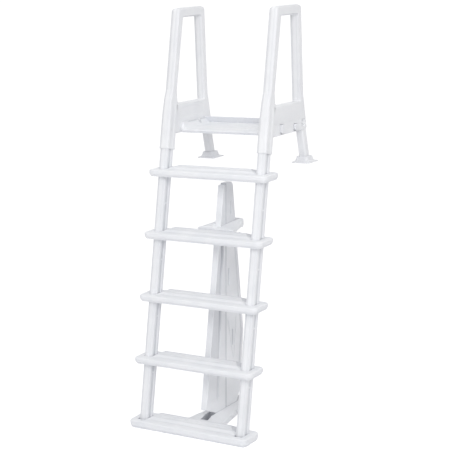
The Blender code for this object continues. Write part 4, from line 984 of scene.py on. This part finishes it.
# %% Barrier outlines
BOARD_HALF, BOARD_EDGE = 0.0165, 0.0025
SEAM_GAP = 0.0010  # to either side of the seam, so that it shows as a dark line
TENON_TOP, BOW = 0.045, 0.085
TENON = axis_y(0.040) + TREAD_TAIL + 0.115
FRONT_TOP, REAR_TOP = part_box("barrier_front_board")[1].z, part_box("barrier_rear_board")[1].z
BOARD_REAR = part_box("barrier_rear_board")[1].y - 0.027
BACK_AT = [0.0, TENON_TOP, 0.100, 0.400, 0.835, REAR_TOP]
BACK_INSET = [0.067, 0.067, 0.028, -0.027, 0.0, 0.020]
TOP_ROUND = 0.022


def behind_treads(z):
    """A line just behind the treads, along their lean."""
    return axis_y(z) + TREAD_TAIL + 0.019


SEAM_FOOT, SEAM_TOP = TENON + 0.089, behind_treads(FRONT_TOP) + 0.021


def seam(z):
    """Where the boards meet."""
    return SEAM_FOOT + (SEAM_TOP - SEAM_FOOT) * z / FRONT_TOP


def front_edge(z):
    """Behind the treads above the bow, and back to the tenon below it."""
    share = np.clip((z - TENON_TOP) / (BOW - TENON_TOP), 0, 1)
    return np.where(z > BOW, behind_treads(z), TENON + (behind_treads(BOW) - TENON) * share)


def back_edge(z):
    """Tenon, knee, straight back and a rounded top."""
    past = np.maximum(z - REAR_TOP + TOP_ROUND, 0)
    round_top = TOP_ROUND - np.sqrt(np.maximum(TOP_ROUND ** 2 - past ** 2, 0))
    return BOARD_REAR - np.interp(z, BACK_AT, BACK_INSET) - round_top


print("seam from", round(SEAM_FOOT, 4), "to", round(SEAM_TOP, 4))

# %% [markdown]
# The boards are thin hollow mouldings. Their two skins are drawn in towards each other in long hollows that
# stiffen them, and shade is painted into the hollows, along the seam and over parts of the sides. The front
# board has a channel behind its front edge, with a deeper stripe along the channel's back that stops at each
# tread. Colour alone could show them, but then their edges would catch no light, so there is a relief and a
# painted shade.

# %% Front board's hollows
CHANNEL_DEPTH, STRIPE_DEPTH = 0.0040, 0.0045
CHANNEL_AT, CHANNEL_TO_SEAM = [0.15, 0.50, 0.70, 0.80, 0.95], [0.066, 0.044, 0.035, 0.022, 0.020]
STRIPE_AT = [0.09, 0.12, 0.27, 0.285, 0.30, 0.55, 0.575, 0.60, 0.62, 0.78, 0.875, 0.90]
STRIPE_SHARE = [0.0, 0.3, 0.3, 0.0, 0.2, 1.0, 1.0, 0.0, 0.4, 1.0, 1.0, 0.0]
# painted shade: in the channel and the stripe, along the seam, on the sides above the bracket and in the
# third bay, on the front edge in the second bay
CHANNEL_SHADE_AT = [0.19, 0.26, 0.30, 0.42, 0.56, 0.70, 0.80, 0.86]
CHANNEL_PAINTED_SHADE = [0.10, 0.08, 0.36, 0.42, 0.33, 0.36, 0.38, 0.18]
SEAM_PAINTED_SHADE, STRIPE_PAINTED_SHADE = 0.55, 0.80
HEAD_PAINTED_SHADE, BAY_PAINTED_SHADE, EDGE_PAINTED_SHADE = 0.22, 0.25, 0.15


def bay(z, first, last, fade):
    """1 between two heights, eased to 0 over fade at both ends."""
    return ease((z - first) / fade) * ease((last - z) / fade)


def seam_painted_shade(y, z):
    """Painted shade on either side of the seam."""
    return SEAM_PAINTED_SHADE * ease((0.0060 - abs(y - seam(z))) / 0.003)


def inside_front(y, z):
    """0 on the front edge and 1 on the sides."""
    return ease((y - front_edge(z) - 0.004) / 0.002)


def front_hollows(y, z):
    """Shares of the channel behind the front edge and, in each bay between treads, of the stripe."""
    back = seam(z) - np.interp(z, CHANNEL_AT, CHANNEL_TO_SEAM)
    channel = inside_front(y, z) * ease((back - y) / 0.008) * bay(z, 0.09, 0.92, 0.03)
    stripe = np.interp(z, STRIPE_AT, STRIPE_SHARE) * ease((0.012 - abs(y - back + 0.007)) / 0.007)
    return channel, stripe


def front_relief(y, z):
    """Depth of the channel, and more in the stripe."""
    channel, stripe = front_hollows(y, z)
    return CHANNEL_DEPTH * channel + STRIPE_DEPTH * stripe * channel


def front_painted_shade(y, z):
    """Painted shade in the channel, most in the stripe; all over the sides above the bracket and in the third
    bay, and on the front edge in the second bay."""
    channel, stripe = front_hollows(y, z)
    share = np.interp(z, CHANNEL_SHADE_AT, CHANNEL_PAINTED_SHADE)
    hollow = share * channel + (STRIPE_PAINTED_SHADE - share) * stripe
    side = np.maximum(HEAD_PAINTED_SHADE * ease((z - 0.94) / 0.03), BAY_PAINTED_SHADE * bay(z, 0.60, 0.82, 0.04))
    plain = np.maximum(side * inside_front(y, z), EDGE_PAINTED_SHADE * bay(z, 0.29, 0.57, 0.03))
    return np.maximum(seam_painted_shade(y, z), np.maximum(hollow, plain))


print("channel", CHANNEL_DEPTH, "m deep, stripe", CHANNEL_DEPTH + STRIPE_DEPTH)

# %% [markdown]
# The rear board has four short slots near the seam, two grooves that meet in a V and a long hollow ahead of
# its rear edge. They stiffen it as ribs would. They could be cut with other solids, but each is a share
# from 0 to 1 here, so that the same shape serves for the depth and for the painted shade.

# %% Rear board's hollows
SLOT_BAYS = ((1.000, 1.075, 0.047), (0.655, 0.745, 0.0275), (0.340, 0.430, 0.064), (0.232, 0.262, 0.070))
VEE_FOOT, VEE_TOP, VEE_HALF = 0.27, 0.50, 0.0035
VEE_LINES = ((0.072, 0.034), (0.074, 0.116))  # behind the seam's place at VEE_SEAM, at foot and top
VEE_SEAM = 0.25
SLOTS_DEPTH, VEE_DEPTH, HOLLOW_DEPTH = 0.0060, 0.0030, 0.0040
# painted shade in the slots, the V and the hollow, and by height on the plain sides
SLOTS_PAINTED_SHADE, VEE_PAINTED_SHADE, HOLLOW_PAINTED_SHADE = 0.50, 0.30, 0.40
REAR_SHADE_AT = [0.58, 0.62, 0.72, 0.80, 0.86, 0.93, 0.97]
REAR_PAINTED_SHADE = [0.04, 0.24, 0.20, 0.10, 0.0, 0.0, 0.30]


def vee_line(y, z, foot, top):
    """1 on a straight groove between two places behind the seam, eased to 0 at its sides and ends."""
    share = (z - VEE_FOOT) / (VEE_TOP - VEE_FOOT)
    away = abs(y - seam(VEE_SEAM) - foot - (top - foot) * share)
    return ease((VEE_HALF - away) / 0.002) * ease(share / 0.1) * ease((1 - share) / 0.1)


def rear_hollows(y, z):
    """Shares of the slots, of the two grooves that meet in a V, and of the hollow ahead of the rear edge."""
    slots = sum(ease((0.0080 - abs(y - seam(z) - behind)) / 0.004) * bay(z, first, last, 0.008)
                for first, last, behind in SLOT_BAYS)
    vee = np.maximum(*(vee_line(y, z, foot, top) for foot, top in VEE_LINES))
    ahead = back_edge(z) - y
    hollow = ease((0.034 - ahead) / 0.008) * ease((ahead - 0.011) / 0.006) * bay(z, 0.20, 0.90, 0.03)
    return np.clip(slots, 0, 1), vee, hollow


def rear_relief(y, z):
    """The deepest of the slots, the V and the hollow."""
    slots, vee, hollow = rear_hollows(y, z)
    return np.maximum(np.maximum(SLOTS_DEPTH * slots, VEE_DEPTH * vee), HOLLOW_DEPTH * hollow)


def rear_painted_shade(y, z):
    """Painted shade in the slots, the V and the hollow, along the seam, and by height on the plain sides."""
    slots, vee, hollow = rear_hollows(y, z)
    plain = np.interp(z, REAR_SHADE_AT, REAR_PAINTED_SHADE)
    lines = np.maximum(SLOTS_PAINTED_SHADE * slots, np.maximum(VEE_PAINTED_SHADE * vee, HOLLOW_PAINTED_SHADE * hollow))
    return np.maximum(seam_painted_shade(y, z), np.maximum(lines, plain))


print(len(SLOT_BAYS), "slots and", len(VEE_LINES), "grooves")

# %% [markdown]
# With the outlines and hollows known, both boards are made in one way. Each face lies half a thickness to
# its side of the middle and is sunk by the same relief, as the two skins of a blown board are.

# %% Barrier boards
def board(name, node, front, back, top, relief, painted_shade_amount):
    """Slab whose faces lie half a thickness to either side, each sunk by the relief."""
    rows = spaced((0.016, 0.100, 18), (0.100, top - 0.030, 210), (top - 0.030, top - BOARD_EDGE, 14))
    grids = slab(rows, np.linspace(0, 1, 110),
                 lambda z: front(z) + BOARD_EDGE, lambda z: back(z) - BOARD_EDGE,
                 lambda y, z: BOARD_HALF - relief(y, z), lambda y, z: relief(y, z) - BOARD_HALF,
                 BOARD_EDGE, BOARD_EDGE, BOARD_EDGE)
    mould(name, placed(grids, (0, 0, 0), Y, Z, X), board_plastic, "lower_ladder", [node],
          painted_shade_amount=over_faces(grids, painted_shade_amount, 3))


board("barrier_front_skin", "barrier_front_board", front_edge, lambda z: seam(z) - SEAM_GAP, FRONT_TOP,
      front_relief, front_painted_shade)
board("barrier_rear_skin", "barrier_rear_board", lambda z: seam(z) + SEAM_GAP, back_edge, REAR_TOP,
      rear_relief, rear_painted_shade)

# %% [markdown]
# The upper bracket and the foot tie the boards to a tread. Seen from above each is a wedge, wide against the
# tread and narrow at the back; seen from the front its roof climbs from both sides to the boards. A wedge
# cut from a block would be heavy and flat-sided, while mouldings like these are open below and swell, so
# both are slabs with a roof for one face and a hollow for the other.

# %% Brackets
RIDGE_HALF = 0.026
REAR_HALF = 0.032
BRACKET_EDGE, BRACKET_SKIRT = 0.005, 0.002
SKIN, ROOF_LOWEST = 0.006, 0.009
WINDOW_DEPTH = 0.048
# painted shade in the creases along the boards
CREASE_PAINTED_SHADE = 0.6
FOOT_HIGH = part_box("barrier_foot")[1].z


def bracket(name, node, ridge, wing, tuck, side_lift, window):
    """Wedge with straight sides. Roof height = brow + (ridge - brow) * share of the way in from the side,
    where the ridge's heights are given at shares of the depth and the left side's is higher by the share
    wing. The underside climbs by tuck behind the bolts and by side_lift under the two wings. A window is
    (half width, middle, half depth) of a pit in the roof."""
    low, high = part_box(node)
    depth, height = high.y - low.y, high.z - low.z
    brow = ridge[1][0]

    def half(v):
        """Half width at v, which shrinks evenly to the rear."""
        return high.x + (REAR_HALF - high.x) * v / depth

    def opening(u, v):
        """1 in the window, else 0."""
        if window is None:
            return 0 * u
        return ease(-box_distance(u, v - window[1], window[0], window[2], 0.003) / 0.0015)

    def crease(u, v):
        """Painted shade where the roof turns down along the boards."""
        return CREASE_PAINTED_SHADE * ease((BOARD_HALF + 0.0050 - abs(u)) / 0.003) * ease((v - 0.022) / 0.006)

    def roof(u, v):
        """The roof above, whose climb is half even and half a quarter sine, less the window."""
        share = np.clip((half(v) - abs(u)) / np.maximum(half(v) - RIDGE_HALF, 1e-4), 0, 1)
        climb = 0.5 * share + 0.5 * np.sin(share * np.pi / 2)
        left = 1 + wing * ease(-u / BOARD_HALF) * ease((0.75 - v / depth) / 0.4)
        full = brow + (left * np.interp(v / depth, *ridge) - brow) * climb
        return np.maximum(full - WINDOW_DEPTH * opening(u, v), ROOF_LOWEST)

    def hollow(u, v):
        """The underside: its lift, and between the walls and ribs a hollow up to one wall's thickness below
        the roof.
        """
        inside = np.minimum(np.minimum(half(v) - 0.007 - abs(u), v - 0.009), depth - 0.007 - v)
        behind_bolts = tuck * np.clip((v / depth - 0.64) / 0.36, 0, 1)
        lift = np.maximum(behind_bolts, side_lift * ease((abs(u) - 0.028) / 0.010))
        deep = np.clip(roof(u, v) - lift - SKIN, 0, SKIN if window else height * 0.5)
        return deep * ease(inside / 0.003) * (1 - ribs(v, 0.07, 0.0018)) + lift

    def bracket_painted_shade(u, v):
        """Painted shade in the window and the creases."""
        return np.maximum(opening(u, v), crease(u, v))

    rows = spaced((BRACKET_EDGE, depth - BRACKET_EDGE, 90), (0.025, 0.08, 30))
    grids = slab(rows, np.linspace(0, 1, 91),
                 lambda v: BRACKET_EDGE - half(v), lambda v: half(v) - BRACKET_EDGE,
                 roof, hollow, BRACKET_EDGE, BRACKET_EDGE, BRACKET_SKIRT)
    mould(name, placed(grids, (0, low.y, low.z), X, Y, Z), bracket_plastic, "lower_ladder",
          [node], painted_shade_amount=over_faces(grids, bracket_painted_shade))


upper_ridge = ([0.02, 0.16, 0.45, 1.0], [0.0490, 0.0570, 0.0610, 0.0630])
foot_ridge = ([0.02, 0.10, 0.17, 1.0], FOOT_HIGH * np.array([0.64, 0.82, 1.0, 1.0]))
bracket("upper_bracket_moulding", "upper_barrier_bracket", upper_ridge, 0.24, 0.030, 0.027, None)
bracket("barrier_foot_moulding", "barrier_foot", foot_ridge, 0.0, 0.0, 0.0, (0.019, 0.070, 0.039))

# %% [markdown]
# Push-in plugs close the holes through which the posts fill with water. A ball pressed flat could stand for
# one, but each has a small dome inside a thin rim, so it is turned.

# %% Plugs
PLUG_OUT = 0.0025  # how far the CAD plug stands up from the floor of the flute
plug_profile = [
    (0.0008, 0.0026), (0.0020, 0.0025), (0.0033, 0.0021), (0.0037, 0.0014), (0.0046, 0.0013),
    (0.0048, 0.0006), (0.0048, 0.0), (0.0030, 0.0), (0.0030, -0.003),
]
for side, sign in SIDES:
    for number in range(1, 5):
        node = f"{side}_upright_plug_{number}"
        low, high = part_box(node)
        seat = [high.x - PLUG_OUT, (low.y + high.y) / 2, (low.z + high.z) / 2]
        plug = placed([(turned(plug_profile), True)], seat, *facing(X))
        mould(node + "_cap", plug, post_plastic, "lower_ladder", [node], caps=True)

# %% [markdown]
# White push-on caps hide the heads of the barrier's bolts, the platform's screws and the leg bolts, so that
# no metal touches a swimmer. A flat disc would look like a coin, so a cap is a low dome with a straight rim
# that sits over the head.

# %% Caps
def cap_over(node, direction, radius, tall, material, body):
    """A turned dome over the head whose outer face is the node's end in this direction along X."""
    low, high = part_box(node)
    seat = [high.x if direction > 0 else low.x, (low.y + high.y) / 2, (low.z + high.z) / 2]
    dome = [(0.0008, 0.0019), (0.45 * radius, 0.0016), (0.8 * radius, 0.0009), (0.96 * radius, 0.0),
            (radius, -0.0010), (radius, -tall)]
    cap = placed([(turned(dome), True)], seat, *facing(direction * X))
    mould(node + "_cap", cap, material, body, caps=True)


for place in ("upper", "lower"):
    for kind in ("front", "rear"):
        cap_over(f"barrier_{place}_{kind}_bolt", 1, 0.0082, 0.0052, bracket_plastic, "lower_ladder")
for side, sign in SIDES:
    cap_over(side + "_platform_screw", -sign, 0.0064, 0.0040, deck_plastic, "upper_frame")
    cap_over(side + "_leg_bolt", sign, 0.0075, 0.0050, rail_plastic, "upper_frame")

# %% [markdown]
# The screws, bolts and nuts are turned from stainless bar. They could be drawn again with threads, but they
# are small and their CAD shapes are right, so they stay and only take the steel.

# %% Fasteners
fasteners = [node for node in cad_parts.values() if node.name.endswith(("screw", "bolt", "nut"))]
for node in fasteners:
    node.data.materials.clear()
    node.data.materials.append(steel)
print(len(fasteners), "fasteners in steel")

# %% [markdown]
# The ladder stands on the pale floor of a plain white studio, which throws light back up under the treads.
# The background has to look pure white without more light on the ladder. A brighter floor would wash out
# the undersides, so only what the camera, a reflection or a clear piece sees is lifted, and the light that
# falls on the ladder isn't.

# %% Floor
FLOOR_REACH = 400.0
FLOOR_LIFT = 0.60


def what_is_seen(tree):
    """1 for rays from the camera, a reflection or a clear piece, else 0."""
    paths = add(tree, "ShaderNodeLightPath").outputs
    seen = add(tree, "ShaderNodeMath", {0: paths["Is Camera Ray"], 1: paths["Is Glossy Ray"]},
               operation="MAXIMUM")
    return add(tree, "ShaderNodeMath", {0: seen.outputs[0], 1: paths["Is Transmission Ray"]},
               operation="MAXIMUM").outputs[0]


floor_paint, tree, output = blank("matt_floor_paint")
lift = add(tree, "ShaderNodeMath", {0: what_is_seen(tree), 1: FLOOR_LIFT}, operation="MULTIPLY")
matt = add(tree, "ShaderNodeBsdfDiffuse", {"Color": linear("#E6E6E8")})
glow = add(tree, "ShaderNodeEmission", {"Color": (1, 1, 1, 1), "Strength": lift.outputs[0]})
both = add(tree, "ShaderNodeAddShader", {0: matt.outputs[0], 1: glow.outputs[0]})
tree.links.new(both.outputs[0], output.inputs["Surface"])
corners = np.array([(-1, -1, 0), (1, -1, 0), (1, 1, 0), (-1, 1, 0)]) * FLOOR_REACH
floor_mesh = bpy.data.meshes.new("floor")
floor_mesh.from_pydata(corners.tolist(), [], [(0, 1, 2, 3)])
floor_mesh.materials.append(floor_paint)
floor = bpy.data.objects.new("floor", floor_mesh)
bpy.context.scene.collection.objects.link(floor)
print("floor", 2 * FLOOR_REACH, "m wide")

# %% [markdown]
# The light is soft and level: a white sky all round, lifted in the same way as the floor, and four soft
# lamps. The key lamp hangs in front, at the right and above, near the camera, and makes the front a little
# brighter than the sides. One lamp overhead lights the standing surfaces, and two weak ones, at the right
# and low in front, fill the shade. A sky alone would leave the ladder flat, with no edge brighter than
# another.

# %% Sky and lamps
SKY_LIGHT = 0.61
world = bpy.data.worlds.new("studio")
bpy.context.scene.world = world
world.use_nodes = True
tree = world.node_tree
tree.nodes.clear()
strength = add(tree, "ShaderNodeMapRange", {"Value": what_is_seen(tree), "To Min": SKY_LIGHT, "To Max": 1.0})
sky = add(tree, "ShaderNodeBackground", {"Color": (1, 1, 1, 1), "Strength": strength.outputs["Result"]})
tree.links.new(sky.outputs[0], add(tree, "ShaderNodeOutputWorld").inputs["Surface"])


def area_lamp(name, place, aim, size, power):
    """A square white lamp at place that faces aim."""
    lamp = bpy.data.lights.new(name, "AREA")
    lamp.size = size
    lamp.energy = power
    holder = bpy.data.objects.new(name, lamp)
    holder.location = place
    holder.rotation_euler = (Vector(aim) - Vector(place)).to_track_quat("-Z", "Y").to_euler()
    holder.visible_camera = False
    bpy.context.scene.collection.objects.link(holder)


area_lamp("key_lamp", (2.78, -4.05, 4.00), (0, -0.1, 1.0), 2.2, 97)
area_lamp("top_lamp", (0, -0.3, 5.2), (0, -0.1, 1.0), 3.0, 25)
area_lamp("side_lamp", (4.2, 1.0, 1.3), (0, 0, 0.9), 2.0, 9)
area_lamp("front_lamp", (0.4, -5.5, 1.2), (0, 0, 1.2), 1.6, 22)
bpy.context.scene.view_settings.view_transform = "Standard"
print("sky", SKY_LIGHT, "and four lamps")
